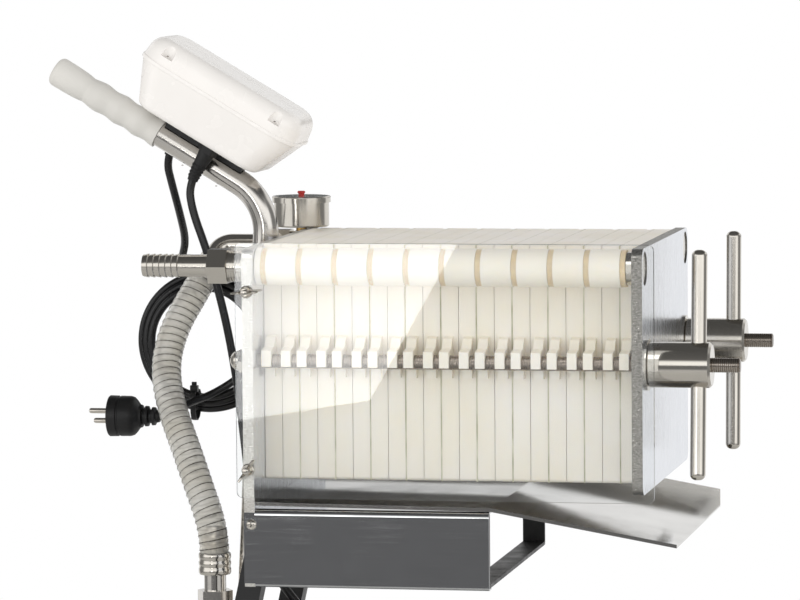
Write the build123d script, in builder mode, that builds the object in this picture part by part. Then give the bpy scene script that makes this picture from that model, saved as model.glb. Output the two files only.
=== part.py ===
from build123d import *
from math import cos, pi, radians, sin, tan
import os

# Plate filter press with a T-nut screw press, on a small trolley with its pump.
# Millimetres. X runs from the fixed head to the moving end plate, Y to the far
# side, Z up from the floor. The origin is on the floor, below the middle.

os.makedirs("parts", exist_ok=True)

# Filter plates
plate_count = 21
plate_pitch = 15.1
sheet_gap = 0.4
plate_width = 204.0
plate_top = 97.0
plate_bottom = 101.0
plate_corner = 3.0
port_reach = 125.0
port_height = 80.0
ear_radius = 15.8
ear_arm_height = 17.0
port_bore = 9.0
gasket_width = 4.7
gasket_radius = 15.3
lug_width = 8.0
lug_shift = 0.8
lug_top = 9.5
lug_drop = 4.0
lug_shoulder = 21.0
lug_root = 14.0
lug_tip = 3.2
lug_sink = 1.0
lug_knee = 6.0
lug_elbow = 12.0
lug_fall = 2.0

# Tie rods and the screw press
rod_height = 540.0
rod_reach = 117.0
rod_diameter = 12.0
rod_tail = 23.3
head_thickness = 9.0
end_thickness = 9.0
head_half_width = 146.3
end_half_width = 141.3
head_top = 96.0
head_bottom = 187.0
end_top = 97.0
end_bottom = 106.8
plate_edge_radius = 10.0
washer_diameter = 43.0
washer_thickness = 2.5
hub_diameter = 38.0
hub_length = 52.0
hub_chamfer = 2.0
bar_diameter = 13.0
bar_length = 190.0
bar_inset = 11.3
near_bar_tilt = 5.0
far_bar_tilt = 3.0
cap_nut_flats = 19.0
cap_nut_length = 17.0
cap_hex_length = 8.0
cap_thread = 10.8
rod_chamfer = 0.8
plug_radius = 14.0
plug_recess = 1.0

# Clearances
seat_gap = 0.2
press_gap = 0.3
thread_clearance = 0.08
rod_clearance = 0.5

# Handle and switch box
tube_diameter = 22.0
tube_wall = 1.5
column_lean = 3.1
column_gap = 0.525
bend_above_head = 32.0
bend_radius = 50.0
handle_slope = 31.0
handle_length = 218.0
column_foot = 262.0
grip_diameter = 26.0
grip_length = 108.0
grip_end_radius = 5.0
grip_wave = 1.2
finger_pitch = 20.0
box_length = 154.0
box_width = 90.0
box_base_height = 39.0
box_lid_height = 23.0
box_corner = 24.0
box_bottom_length = 118.0
box_bottom_width = 82.0
box_past_saddle = 6.3
scoop_radius = 5.5
scoop_reach = 54.0
scoop_rise = 9.0
saddle_height = 6.0
saddle_start = 31.0
saddle_to_grip = 2.0
saddle_width = 16.0
gland_reach = 24.0
gland_radius = 9.0
gland_length = 19.0
gland_nut_length = 6.0
gland_wall = 1.2
mains_gland_shift = -23.6
motor_gland_shift = 13.8

# Guard, tray and apron
guard_thickness = 4.0
guard_gap = 0.2
guard_left = 5.2
guard_length = 351.0
guard_top = 101.0
guard_bottom = 112.0
guard_corner = 5.0
wing_high = 60.3
wing_low = 88.5
wing_hub = 4.6
wing_hub_length = 5.5
wing_span = 11.5
wing_thickness = 3.0
wing_rise = 1.5
wing_length = 7.0
wing_low_turn = 55.0
stud_diameter = 5.0
stud_tail = 5.0
sheet = 1.5
apron_top = 121.5
apron_bottom = 187.0
apron_length = 207.5
apron_flange = 22.0
apron_hem = 10.0
apron_fold_radius = 5.0
tray_left_depth = 117.5
tray_bend_depth = 119.6
tray_bend_x = 207.5
tray_end_x = 363.5
tray_end_depth = 147.5
tray_near = 144.6
tray_far = 142.5
tray_lip = 1.5
tray_wall = 14.0
strap_width = 19.5
strap_thickness = 3.0

# Stand
leg_size = 20.0
leg_reach = 100.0
leg_top = 128.0
leg_splay = 12.5
cross_bar_height = 20.0
cross_bar_thickness = 5.0
rail_size = 25.0
rail_left = 120.0
rail_length = 352.0
post_width = 25.0
foot_radius = 16.0
foot_height = 12.0
wheel_radius = 62.5
wheel_inner_radius = 44.0
tyre_width = 28.0
hub_half = 24.0
hub_gap = 0.5
hub_web = 16.0
hub_core = 14.0
hub_hole = 7.0
hub_hole_count = 5
axle_diameter = 12.0
axle_back = 93.5
axle_cap_radius = 10.0
axle_cap_length = 8.0
base_plate_thickness = 3.0
base_plate_length = 232.0
base_plate_back = 48.0

# Pump and motor
motor_axis_height = 66.0
motor_radius = 58.0
motor_length = 130.0
fin_count = 24
fin_height = 5.0
fin_thickness = 2.0
lantern_radius = 42.0
lantern_length = 26.0
fan_cover_length = 34.0
pump_radius = 47.0
pump_length = 46.0
pump_middle = 59.5
pump_edge = 6.0
pump_tail = 46.0
pump_neck_radius = 14.0
pump_neck = 12.0
motor_flange = 8.0
motor_foot_reach = 38.0
motor_foot_length = 90.0
motor_foot_width = 24.0
fan_cover_edge = 8.0
terminal_shift = 84.0
terminal_length = 84.0
terminal_width = 62.0
terminal_height = 30.0
terminal_corner = 6.0
terminal_edge = 4.0
terminal_gland = 16.0
terminal_gland_radius = 8.5
terminal_gland_shift = 30.0
terminal_gland_side = 14.0
terminal_nut = 8.0
riser_radius = 10.5
riser_top = 176.0
riser_nut_top = 211.0
riser_nut_flats = 27.0
riser_nut_length = 17.0
hose_end_drop = 194.0
hose_clamp_drop = 191.0
hose_clamp_width = 10.0
barb_radius = 9.6
barb_ridge = 0.9
barb_pitch = 5.2

# Fittings at the head
spigot_length = 57.0
spigot_bore = 7.5
fitting_nut_flats = 28.5
fitting_nut_length = 16.5
fitting_thread_radius = 12.9
fitting_stub = 15.5
elbow_back = 78.5
elbow_tilt = 30.0
elbow_lean = 24.0
elbow_radius = 14.0
inlet_radius = 10.0
collar_radius = 12.5
elbow_collar = 12.0
elbow_shoulder = 20.0
elbow_tail = 42.0
gauge_radius = 24.5
gauge_bezel_radius = 26.0
gauge_bezel_height = 5.5
gauge_rim = 3.0
gauge_recess = 4.0
gauge_dial_thickness = 1.5
gauge_height = 27.0
gauge_offset = 6.5
gauge_gap = 1.0
stem_radius = 4.9

# Hose and leads
hose_radius = 13.0
hose_bore = 10.6
lead_radius = 3.5
coil_outer = 69.5
coil_inner = 49.5
coil_depth = 22.0
plug_pin_length = 17.0
plug_pin_radius = 2.4
plug_pin_reach = 9.5
plug_pin_turn = 33.0
mains_plug_radius = 18.5
plug_waist = 13.0
plug_body = 26.0
plug_tail = 19.4
plug_tail_radius = 8.0

# Places worked out from the sizes above
rod_z = rod_height
rod_radius = rod_diameter / 2
tube_radius = tube_diameter / 2
stack_length = plate_count * plate_pitch
plate_thickness = plate_pitch - sheet_gap
lean = radians(column_lean)
slope = radians(handle_slope)
splay = radians(leg_splay)
wheel_reach = leg_reach + rail_size / 2 + hub_gap + hub_half
saddle_length = handle_length - grip_length - saddle_to_grip - saddle_start
saddle_middle = saddle_start + saddle_length / 2
box_middle = saddle_middle + box_past_saddle

column_offset = tube_radius / cos(lean) + column_gap
corner_offset = column_offset - bend_above_head * tan(lean)
grip_radius = grip_diameter / 2
grip_overhang = (
    (handle_length - grip_end_radius) * cos(slope)
    + (grip_radius - grip_end_radius) * sin(slope)
    + grip_end_radius
)
left_reach = press_gap + head_thickness + corner_offset + grip_overhang
clamped_length = stack_length - sheet_gap + press_gap
right_reach = (
    clamped_length + end_thickness + washer_thickness + hub_length + rod_tail
)
stack_x = (left_reach - right_reach) / 2
head_inner_x = stack_x - press_gap
head_x = head_inner_x - head_thickness
end_x = stack_x + clamped_length
washer_x = end_x + end_thickness
hub_x = washer_x + washer_thickness
rod_end_x = hub_x + hub_length + rod_tail


def across(x, y=0.0, z=rod_z):
    """Plane square to X at x, its own x along Y and its own y along Z."""
    return Plane(origin=(x, y, z), x_dir=(0, 1, 0), z_dir=(1, 0, 0))


def facing(y, x=head_x, z=rod_z):
    """Plane facing the near side at y, its own x along X and its own y along Z."""
    return Plane(origin=(x, y, z), x_dir=(1, 0, 0), z_dir=(0, -1, 0))


def level(z, x=0.0, y=0.0):
    """Level plane at z."""
    return Plane(origin=(x, y, z), x_dir=(1, 0, 0), z_dir=(0, 0, 1))


def spot(x, y, z):
    """Point given from the head's outer face, the middle and the rods' height."""
    return (head_x + x, y, rod_z + z)


# Filter plates: each hangs on the rods by a hooked lug at either side and
# carries a channel ear, on the near side of every second plate and on the far
# side of the others.


def filter_plate(side, ear_start, ear_end, lug_middle):
    """One plate from X = 0, its ear on the side -1 (near) or 1 (far)."""
    slot_radius = rod_radius + press_gap
    hook_inner = rod_reach - slot_radius
    hook_outer = rod_reach + slot_radius
    lug_end = hook_outer + lug_tip
    half = plate_width / 2
    with BuildPart() as plate:
        with BuildSketch(across(0)):
            with Locations((0, (plate_top - plate_bottom) / 2)):
                RectangleRounded(plate_width, plate_top + plate_bottom, plate_corner)
        extrude(amount=plate_thickness)
        arm_start = max(0, ear_start)
        with BuildSketch(across(arm_start)):
            with Locations((side * (half + port_reach) / 2, port_height)):
                Rectangle(port_reach - half + 2, ear_arm_height)
        extrude(amount=min(plate_thickness, ear_end) - arm_start)
        with BuildSketch(across(ear_start)):
            with Locations((side * port_reach, port_height)):
                Circle(ear_radius)
        extrude(amount=ear_end - ear_start)
        with BuildSketch(across(ear_start)):
            with Locations((side * port_reach, port_height)):
                Circle(port_bore)
        extrude(amount=ear_end - ear_start, mode=Mode.SUBTRACT)
        with BuildSketch(across(lug_middle - lug_width / 2)):
            with BuildLine():
                Polyline(
                    (hook_inner, 0),
                    (hook_inner, -lug_root),
                    (half - lug_sink, -lug_root),
                    (half - lug_sink, lug_shoulder),
                    (half + lug_knee, lug_shoulder - lug_fall),
                    (half + lug_elbow, lug_top + lug_fall),
                    (lug_end, lug_top),
                    (lug_end, -lug_drop),
                    (hook_outer, -lug_drop),
                    (hook_outer, 0),
                )
                ThreePointArc((hook_outer, 0), (rod_reach, slot_radius), (hook_inner, 0))
            make_face()
            mirror(about=Plane.YZ)
        extrude(amount=lug_width)
    return plate.part


half_gasket = gasket_width / 2
ear_back = plate_thickness / 2 - plate_pitch + half_gasket
ear_front = plate_thickness / 2 + plate_pitch - half_gasket
near_lug = plate_thickness / 2 + lug_shift
far_lug = plate_thickness / 2 - lug_shift
near_plate = filter_plate(-1, ear_back, ear_front, near_lug)
first_plate = filter_plate(1, half_gasket, ear_front, far_lug)
far_plate = filter_plate(1, ear_back, ear_front, far_lug)
last_plate = filter_plate(1, ear_back, plate_thickness, far_lug)
last_x = stack_x + plate_pitch * (plate_count - 1)

with BuildPart() as near_ear_plates:
    with Locations(
        *[
            (stack_x + plate_pitch * index, 0, 0)
            for index in range(1, plate_count - 1, 2)
        ]
    ):
        add(near_plate)
    # Plain bush between the head and the first ring of the near channel
    with BuildSketch(across(stack_x)):
        with Locations((-port_reach, port_height)):
            Circle(ear_radius)
            Circle(port_bore, mode=Mode.SUBTRACT)
    extrude(amount=plate_thickness / 2 - half_gasket)
near_ear_plates.part.label = "near_ear_plates"

with BuildPart() as far_ear_plates:
    with Locations((stack_x, 0, 0)):
        add(first_plate)
    with Locations(
        *[
            (stack_x + plate_pitch * index, 0, 0)
            for index in range(2, plate_count - 1, 2)
        ]
    ):
        add(far_plate)
    with Locations((last_x, 0, 0)):
        add(last_plate)
far_ear_plates.part.label = "far_ear_plates"

# Rubber rings between the ears, each level with the middle of the plate that
# has its ear on the other side, and a thinner one at the head
with BuildPart() as port_gaskets:
    with BuildSketch(across(stack_x + seat_gap / 2)):
        with Locations((port_reach, port_height)):
            Circle(gasket_radius)
            Circle(port_bore, mode=Mode.SUBTRACT)
    extrude(amount=half_gasket - seat_gap)
    for index in range(plate_count):
        ring_x = stack_x + index * plate_pitch + plate_thickness / 2
        ring_side = 1 if index % 2 else -1
        with BuildSketch(across(ring_x - half_gasket + seat_gap / 2)):
            with Locations((ring_side * port_reach, port_height)):
                Circle(gasket_radius)
                Circle(port_bore, mode=Mode.SUBTRACT)
        extrude(amount=gasket_width - seat_gap)
port_gaskets.part.label = "port_gaskets"

# Fixed head: a thick plate on edge that carries the rods, the ports, the guard
# studs and the handle, and stands on the legs.
rod_hole = rod_radius + thread_clearance
with BuildPart() as head_plate:
    with BuildSketch(across(head_x)):
        with Locations((0, (head_top - head_bottom) / 2)):
            Rectangle(2 * head_half_width, head_top + head_bottom)
        with Locations((-rod_reach, 0), (rod_reach, 0)):
            Circle(rod_hole, mode=Mode.SUBTRACT)
        with Locations((-port_reach, port_height), (port_reach, port_height)):
            Circle(fitting_thread_radius + seat_gap, mode=Mode.SUBTRACT)
    extrude(amount=head_thickness)
    fillet(
        head_plate.edges().filter_by(Axis.X).filter_by(GeomType.LINE).group_by(Axis.Z)[-1],
        plate_edge_radius,
    )
head_plate.part.label = "head_plate"

# Moving end plate
with BuildPart() as end_plate:
    with BuildSketch(across(end_x)):
        with Locations((0, (end_top - end_bottom) / 2)):
            RectangleRounded(
                2 * end_half_width, end_top + end_bottom, plate_edge_radius
            )
        with Locations((-rod_reach, 0), (rod_reach, 0)):
            Circle(rod_radius + rod_clearance, mode=Mode.SUBTRACT)
        with Locations((-port_reach, port_height), (port_reach, port_height)):
            Circle(plug_radius, mode=Mode.SUBTRACT)
    extrude(amount=end_thickness)
end_plate.part.label = "end_plate"

# Steel plugs that close the two channels at the end plate
near_plug_x = last_x + plate_thickness / 2 + half_gasket + press_gap
with BuildPart() as port_plugs:
    with BuildSketch(across(near_plug_x)):
        with Locations((-port_reach, port_height)):
            Circle(plug_radius - seat_gap / 2)
    extrude(amount=end_x + end_thickness - plug_recess - near_plug_x)
    with BuildSketch(across(end_x)):
        with Locations((port_reach, port_height)):
            Circle(plug_radius - seat_gap / 2)
    extrude(amount=end_thickness - plug_recess)
port_plugs.part.label = "port_plugs"

# Tie rods and the domed nuts outside the head
with BuildPart() as tie_rods:
    with BuildSketch(across(head_x - cap_thread)):
        with Locations((-rod_reach, 0), (rod_reach, 0)):
            Circle(rod_radius)
    extrude(amount=rod_end_x - head_x + cap_thread)
    chamfer(tie_rods.edges().filter_by(GeomType.CIRCLE), rod_chamfer)
tie_rods.part.label = "tie_rods"

dome_radius = cap_nut_flats / 2 - 0.7
cap_face_x = head_x - seat_gap
with BuildPart() as cap_nuts:
    with BuildSketch(across(cap_face_x - cap_hex_length)):
        with Locations((-rod_reach, 0), (rod_reach, 0)):
            RegularPolygon(cap_nut_flats / 2, 6, major_radius=False)
    extrude(amount=cap_hex_length)
    for y in (-rod_reach, rod_reach):
        with BuildSketch(facing(y, cap_face_x - cap_hex_length)):
            with BuildLine():
                dome_step = cap_nut_length - cap_hex_length - dome_radius
                Polyline(
                    (-dome_step - dome_radius, 0),
                    (0, 0),
                    (0, dome_radius),
                    (-dome_step, dome_radius),
                )
                RadiusArc(
                    (-dome_step, dome_radius),
                    (-dome_step - dome_radius, 0),
                    -dome_radius,
                )
            make_face()
        revolve(axis=Axis((0, y, rod_z), (1, 0, 0)))
    with BuildSketch(across(cap_face_x - cap_thread - seat_gap)):
        with Locations((-rod_reach, 0), (rod_reach, 0)):
            Circle(rod_hole)
    extrude(amount=cap_thread + 2 * seat_gap, mode=Mode.SUBTRACT)
cap_nuts.part.label = "cap_nuts"

# Washers and T-handled nuts
with BuildPart() as clamp_washers:
    with BuildSketch(across(washer_x)):
        with Locations((-rod_reach, 0), (rod_reach, 0)):
            Circle(washer_diameter / 2)
            Circle(rod_radius + rod_clearance, mode=Mode.SUBTRACT)
    extrude(amount=washer_thickness - press_gap)
clamp_washers.part.label = "clamp_washers"


def tee_nut(y, tilt):
    """Turned hub with a thread through it and a round bar across its end."""
    bar_x = hub_x + hub_length - bar_inset
    turned = radians(tilt)
    bar_plane = Plane(
        origin=(bar_x, y, rod_z),
        x_dir=(1, 0, 0),
        z_dir=(0, sin(turned), cos(turned)),
    )
    with BuildPart() as nut:
        with BuildSketch(across(hub_x, y)):
            Circle(hub_diameter / 2)
        extrude(amount=hub_length)
        chamfer(nut.edges().filter_by(GeomType.CIRCLE).group_by(Axis.X)[-1], hub_chamfer)
        chamfer(nut.edges().filter_by(GeomType.CIRCLE).group_by(Axis.X)[0], hub_chamfer / 2)
        with BuildPart(bar_plane, mode=Mode.PRIVATE) as bar:
            Cylinder(bar_diameter / 2, bar_length)
            fillet(bar.edges().filter_by(GeomType.CIRCLE), bar_diameter * 0.4)
        add(bar.part)
        with BuildSketch(across(hub_x - 1, y)):
            Circle(rod_radius + thread_clearance)
        extrude(amount=hub_length + 2, mode=Mode.SUBTRACT)
    return nut


near_tee_nut = tee_nut(-rod_reach, near_bar_tilt)
near_tee_nut.part.label = "near_tee_nut"
far_tee_nut = tee_nut(rod_reach, far_bar_tilt)
far_tee_nut.part.label = "far_tee_nut"

# Clear splash guard on two studs of the head's near edge
guard_y = -head_half_width - guard_gap
stud_x = head_x + head_thickness / 2
with BuildPart() as splash_guard:
    with BuildSketch(facing(guard_y, head_x - guard_left)):
        with Locations((guard_length / 2, (guard_top - guard_bottom) / 2)):
            RectangleRounded(guard_length, guard_top + guard_bottom, guard_corner)
        with Locations(
            (stud_x - head_x + guard_left, wing_high),
            (stud_x - head_x + guard_left, -wing_low),
        ):
            Circle(stud_diameter / 2 + 0.4, mode=Mode.SUBTRACT)
    extrude(amount=guard_thickness)
splash_guard.part.label = "splash_guard"

wing_y = guard_y - guard_thickness - seat_gap


def wing_nut(height, turn):
    """Wing nut with the end of its stud, wings turned by turn degrees."""
    with BuildPart(mode=Mode.PRIVATE) as nut:
        with BuildSketch(facing(wing_y, stud_x, rod_z + height)):
            Circle(wing_hub)
        extrude(amount=wing_hub_length, taper=8)
        with BuildSketch(facing(wing_y - wing_rise, stud_x, rod_z + height)):
            SlotOverall(2 * wing_span, wing_thickness, rotation=turn)
        extrude(amount=wing_length)
        with BuildSketch(facing(-head_half_width - seat_gap, stud_x, rod_z + height)):
            Circle(stud_diameter / 2)
        extrude(amount=guard_thickness + wing_hub_length + stud_tail)
    return nut.part


with BuildPart() as guard_wing_nuts:
    add(wing_nut(wing_high, 0))
    add(wing_nut(-wing_low, wing_low_turn))
guard_wing_nuts.part.label = "guard_wing_nuts"

# Front apron: one sheet folded in at the top and the bottom, screwed to the
# edge of the head and to the strap at its other end.
apron_y = -head_half_width - seat_gap
apron_right_x = head_x + apron_length
apron_flange_x = head_inner_x + seat_gap
with BuildPart() as front_apron:
    with BuildSketch(across(apron_flange_x)):
        with BuildLine():
            Polyline(
                (apron_y + apron_flange, -apron_top),
                (apron_y - sheet, -apron_top),
                (apron_y - sheet, -apron_bottom),
                (apron_y + apron_hem, -apron_bottom),
                (apron_y + apron_hem, -apron_bottom + sheet),
                (apron_y, -apron_bottom + sheet),
                (apron_y, -apron_top - sheet),
                (apron_y + apron_flange, -apron_top - sheet),
                close=True,
            )
        make_face()
    extrude(amount=apron_right_x - apron_flange_x)
    along = front_apron.edges().filter_by(Axis.X)
    fillet(
        along.sort_by_distance((head_x, apron_y, rod_z - apron_top - sheet))[0],
        apron_fold_radius - sheet,
    )
    along = front_apron.edges().filter_by(Axis.X)
    fillet(
        along.sort_by_distance((head_x, apron_y - sheet, rod_z - apron_top))[0],
        apron_fold_radius,
    )
    along = front_apron.edges().filter_by(Axis.X)
    fillet(
        along.sort_by_distance((head_x, apron_y - sheet, rod_z - apron_bottom))[0],
        sheet * 1.6,
    )
    with BuildSketch(across(head_x)):
        with Locations((apron_y - sheet / 2, -(apron_top + apron_bottom) / 2)):
            Rectangle(sheet, apron_bottom - apron_top - 4 * sheet)
    extrude(amount=apron_flange_x - head_x)
front_apron.part.label = "front_apron"

# Drip tray under the plates, one sheet that slopes down past the end plate
tray_left_x = head_inner_x + seat_gap - head_x


def tray_profile(rise_low, rise_high):
    """Strip of the tray's side view between two heights above its floor."""
    Polyline(
        (tray_left_x, rise_low - tray_left_depth),
        (tray_bend_x, rise_low - tray_bend_depth),
        (tray_end_x, rise_low - tray_end_depth),
        (tray_end_x, rise_high - tray_end_depth),
        (tray_bend_x, rise_high - tray_bend_depth),
        (tray_left_x, rise_high - tray_left_depth),
        close=True,
    )


with BuildPart() as drip_tray:
    with BuildSketch(facing(tray_far)):
        with BuildLine():
            tray_profile(-sheet, 0)
        make_face()
    extrude(amount=tray_near + tray_far)
    with BuildSketch(facing(-tray_near + sheet)):
        with BuildLine():
            tray_profile(-sheet / 2, tray_lip)
        make_face()
    extrude(amount=sheet)
    with BuildSketch(facing(tray_far)):
        with BuildLine():
            tray_profile(-sheet / 2, tray_wall)
        make_face()
    extrude(amount=sheet)
drip_tray.part.label = "drip_tray"

# Black strap under the tray, bent up at both sides
strap_x = apron_right_x - strap_width
strap_near = apron_y + 2 * seat_gap + sheet / 2
strap_far = tray_far - seat_gap
strap_bottom = apron_bottom - sheet - seat_gap
strap_near_top = apron_top + sheet + seat_gap
strap_far_top = tray_bend_depth + sheet + 2 * seat_gap
with BuildPart() as tray_strap:
    with BuildSketch(across(strap_x)):
        with BuildLine():
            Polyline(
                (strap_near, -strap_near_top),
                (strap_near, -strap_bottom),
                (strap_far, -strap_bottom),
                (strap_far, -strap_far_top),
                (strap_far - strap_thickness, -strap_far_top),
                (strap_far - strap_thickness, strap_thickness - strap_bottom),
                (strap_near + strap_thickness, strap_thickness - strap_bottom),
                (strap_near + strap_thickness, -strap_near_top),
                close=True,
            )
        make_face()
    extrude(amount=strap_width)
    fillet(
        tray_strap.edges().filter_by(Axis.X).group_by(Axis.Z)[0],
        strap_thickness,
    )
tray_strap.part.label = "tray_strap"

# Handle: one stainless tube, a leaning column behind the head that bends over
# to the left above it.
column_x = head_x - column_offset
corner = Vector(head_x - corner_offset, 0, rod_z + head_top + bend_above_head)
up_lean = Vector(sin(lean), 0, cos(lean))
out_slope = Vector(-cos(slope), 0, sin(slope))
foot_drop = (column_foot + head_top + bend_above_head) / cos(lean)
column_end = corner - up_lean * foot_drop
tube_end = corner + out_slope * (handle_length - 6)
with BuildPart() as handle_tube:
    with BuildLine() as tube_path:
        FilletPolyline(column_end, corner, tube_end, radius=bend_radius)
    with BuildSketch(Plane(origin=column_end, z_dir=up_lean)):
        Circle(tube_radius)
        Circle(tube_radius - tube_wall, mode=Mode.SUBTRACT)
    sweep()
handle_tube.part.label = "handle_tube"

# Moulded grip with finger waves, closed at its end
grip_start = corner + out_slope * (handle_length - grip_length)
grip_plane = Plane(origin=grip_start, x_dir=(sin(slope), 0, cos(slope)), z_dir=out_slope)
waves = int((grip_length - 2 * grip_end_radius) / finger_pitch)
with BuildPart() as handle_grip:
    with BuildSketch(Plane(origin=grip_start, x_dir=out_slope, z_dir=(0, -1, 0))):
        with BuildLine():
            crest = grip_radius
            hollow = grip_radius - grip_wave
            waist = [(0, crest)]
            for index in range(1, 2 * waves):
                waist.append((index * finger_pitch / 2, hollow if index % 2 else crest))
            end_start = grip_length - grip_end_radius
            waist.append((end_start, crest))
            Spline(*waist, tangents=[(1, 0), (1, 0)])
            ThreePointArc(
                (end_start, crest),
                (
                    end_start + grip_end_radius * sin(pi / 4),
                    crest - grip_end_radius * (1 - cos(pi / 4)),
                ),
                (grip_length, crest - grip_end_radius),
            )
            Polyline((grip_length, crest - grip_end_radius), (grip_length, 0), (0, 0), (0, crest))
        make_face()
    revolve(axis=Axis(grip_start, out_slope))
    with BuildSketch(grip_plane):
        Circle(tube_radius + 0.1)
    extrude(amount=grip_length - 6 + seat_gap, mode=Mode.SUBTRACT)
handle_grip.part.label = "handle_grip"

# Switch box on the sloping tube: a deep base and a crowned lid
box_bottom = tube_radius + saddle_height + 2 * seat_gap
box_centre = corner + out_slope * box_middle
tube_normal = Vector(sin(slope), 0, cos(slope))


def box_plane(rise):
    """Plane along the sloping tube, rise above the tube's axis."""
    return Plane(
        origin=box_centre + tube_normal * rise,
        x_dir=(-out_slope.X, -out_slope.Y, -out_slope.Z),
        z_dir=tube_normal,
    )


with BuildPart() as switch_box_base:
    with BuildSketch(box_plane(box_bottom)):
        RectangleRounded(box_bottom_length, box_bottom_width, box_corner - 6)
    with BuildSketch(box_plane(box_bottom + box_base_height)):
        RectangleRounded(box_length, box_width, box_corner)
    loft()
    fillet(
        switch_box_base.faces()
        .sort_by(Axis(box_centre, tube_normal))[0]
        .edges(),
        6,
    )
switch_box_base.part.label = "switch_box_base"

lid_bottom = box_bottom + box_base_height + seat_gap
with BuildPart() as switch_box_lid:
    with BuildSketch(box_plane(lid_bottom)):
        RectangleRounded(box_length, box_width, box_corner)
    with BuildSketch(box_plane(lid_bottom + box_lid_height)):
        RectangleRounded(box_length - 6, box_width - 6, box_corner - 3)
    loft()
    fillet(
        switch_box_lid.faces()
        .sort_by(Axis(box_centre, tube_normal))[-1]
        .edges(),
        14,
    )
    scoop_side = box_width / 2 - 1
    with BuildSketch(box_plane(lid_bottom + scoop_rise)):
        with Locations(
            (-scoop_reach, -scoop_side),
            (-scoop_reach, scoop_side),
            (scoop_reach, -scoop_side),
            (scoop_reach, scoop_side),
        ):
            Circle(scoop_radius)
    extrude(amount=box_lid_height, mode=Mode.SUBTRACT)
switch_box_lid.part.label = "switch_box_lid"

# Black strip between the tube and the box, hollowed to sit on the tube
with BuildPart() as box_saddle:
    with BuildSketch(box_plane(tube_radius * 0.8)):
        with Locations((box_middle - saddle_middle, 0)):
            Rectangle(saddle_length, saddle_width)
    extrude(amount=box_bottom - seat_gap - tube_radius * 0.8)
    with Locations(box_plane(0).location):
        Cylinder(
            tube_radius + seat_gap,
            2 * saddle_length,
            rotation=(0, 90, 0),
            mode=Mode.SUBTRACT,
        )
box_saddle.part.label = "box_saddle"

# Cable glands under the box, one on either side of the tube


def gland_plane(shift, side):
    """Plane that looks out of the box's bottom at a gland."""
    base = box_plane(box_bottom - seat_gap)
    origin = base.from_local_coords(Vector(shift, side * gland_reach, 0))
    return Plane(origin=origin, x_dir=base.x_dir, z_dir=-tube_normal)


with BuildPart() as cable_glands:
    for shift, side in ((mains_gland_shift, 1), (motor_gland_shift, -1)):
        with BuildSketch(gland_plane(shift, side)):
            RegularPolygon(gland_radius, 6)
        extrude(amount=gland_nut_length)
        with BuildSketch(gland_plane(shift, side)):
            Circle(gland_radius - gland_wall)
        extrude(amount=gland_length, taper=6)
cable_glands.part.label = "cable_glands"

# Outlet spigot on the near port: barbed tail, hexagon and thread
nut_right_x = head_x - fitting_stub
nut_left_x = nut_right_x - fitting_nut_length


def barb_line(length, radius):
    """Half outline of a ridged hose tail from its tip at 0 to length."""
    count = int((length * 0.62) / barb_pitch)
    points = [(0, 0), (0, radius - barb_ridge / 2)]
    for index in range(count):
        start = index * barb_pitch
        points.append((start + barb_pitch * 0.85, radius + barb_ridge / 2))
        points.append((start + barb_pitch, radius - barb_ridge / 2))
    points.append((length, radius))
    points.append((length, 0))
    Polyline(*points, close=True)


with BuildPart() as outlet_spigot:
    tip_x = nut_left_x - spigot_length
    with BuildSketch(facing(-port_reach, tip_x, rod_z + port_height)):
        with BuildLine():
            barb_line(spigot_length, barb_radius)
        make_face()
    revolve(axis=Axis((0, -port_reach, rod_z + port_height), (1, 0, 0)))
    with BuildSketch(across(nut_left_x)):
        with Locations((-port_reach, port_height)):
            RegularPolygon(fitting_nut_flats / 2, 6, major_radius=False)
    extrude(amount=fitting_nut_length)
    with BuildSketch(across(nut_right_x)):
        with Locations((-port_reach, port_height)):
            Circle(fitting_thread_radius)
    extrude(amount=fitting_stub + head_thickness)
    with BuildSketch(across(tip_x)):
        with Locations((-port_reach, port_height)):
            Circle(spigot_bore)
    extrude(amount=head_inner_x - tip_x, mode=Mode.SUBTRACT)
outlet_spigot.part.label = "outlet_spigot"

# Inlet on the far port: nut, pipe, and a bend that turns it down, leftwards and
# towards the near side, with a collar and a plain tail for the hose
turned_down = radians(elbow_tilt)
turned_left = radians(elbow_lean)
elbow_way = Vector(
    -sin(turned_left),
    -sin(turned_down) * cos(turned_left),
    -cos(turned_down) * cos(turned_left),
)
elbow_centre = Vector(head_x - elbow_back, port_reach, rod_z + port_height)
inlet_start = Vector(nut_left_x, port_reach, rod_z + port_height)


def on_elbow(distance):
    """Plane square to the elbow's tail, at a distance from the bend's corner."""
    return Plane(origin=elbow_centre + elbow_way * distance, z_dir=elbow_way)


with BuildPart() as inlet_elbow:
    with BuildLine():
        FilletPolyline(
            inlet_start,
            elbow_centre,
            elbow_centre + elbow_way * elbow_shoulder,
            radius=elbow_radius,
        )
    with BuildSketch(Plane(origin=inlet_start, z_dir=(-1, 0, 0))):
        Circle(inlet_radius)
    sweep()
    with BuildSketch(across(nut_left_x)):
        with Locations((port_reach, port_height)):
            RegularPolygon(fitting_nut_flats / 2, 6, major_radius=False)
    extrude(amount=fitting_nut_length)
    with BuildSketch(across(nut_right_x)):
        with Locations((port_reach, port_height)):
            Circle(fitting_thread_radius)
    extrude(amount=fitting_stub + head_thickness)
    with BuildSketch(on_elbow(elbow_collar)):
        Circle(collar_radius)
    extrude(amount=elbow_shoulder - elbow_collar)
    with BuildSketch(on_elbow(elbow_shoulder)):
        Circle(barb_radius)
    extrude(amount=elbow_tail - elbow_shoulder)
inlet_elbow.part.label = "inlet_elbow"

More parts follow.
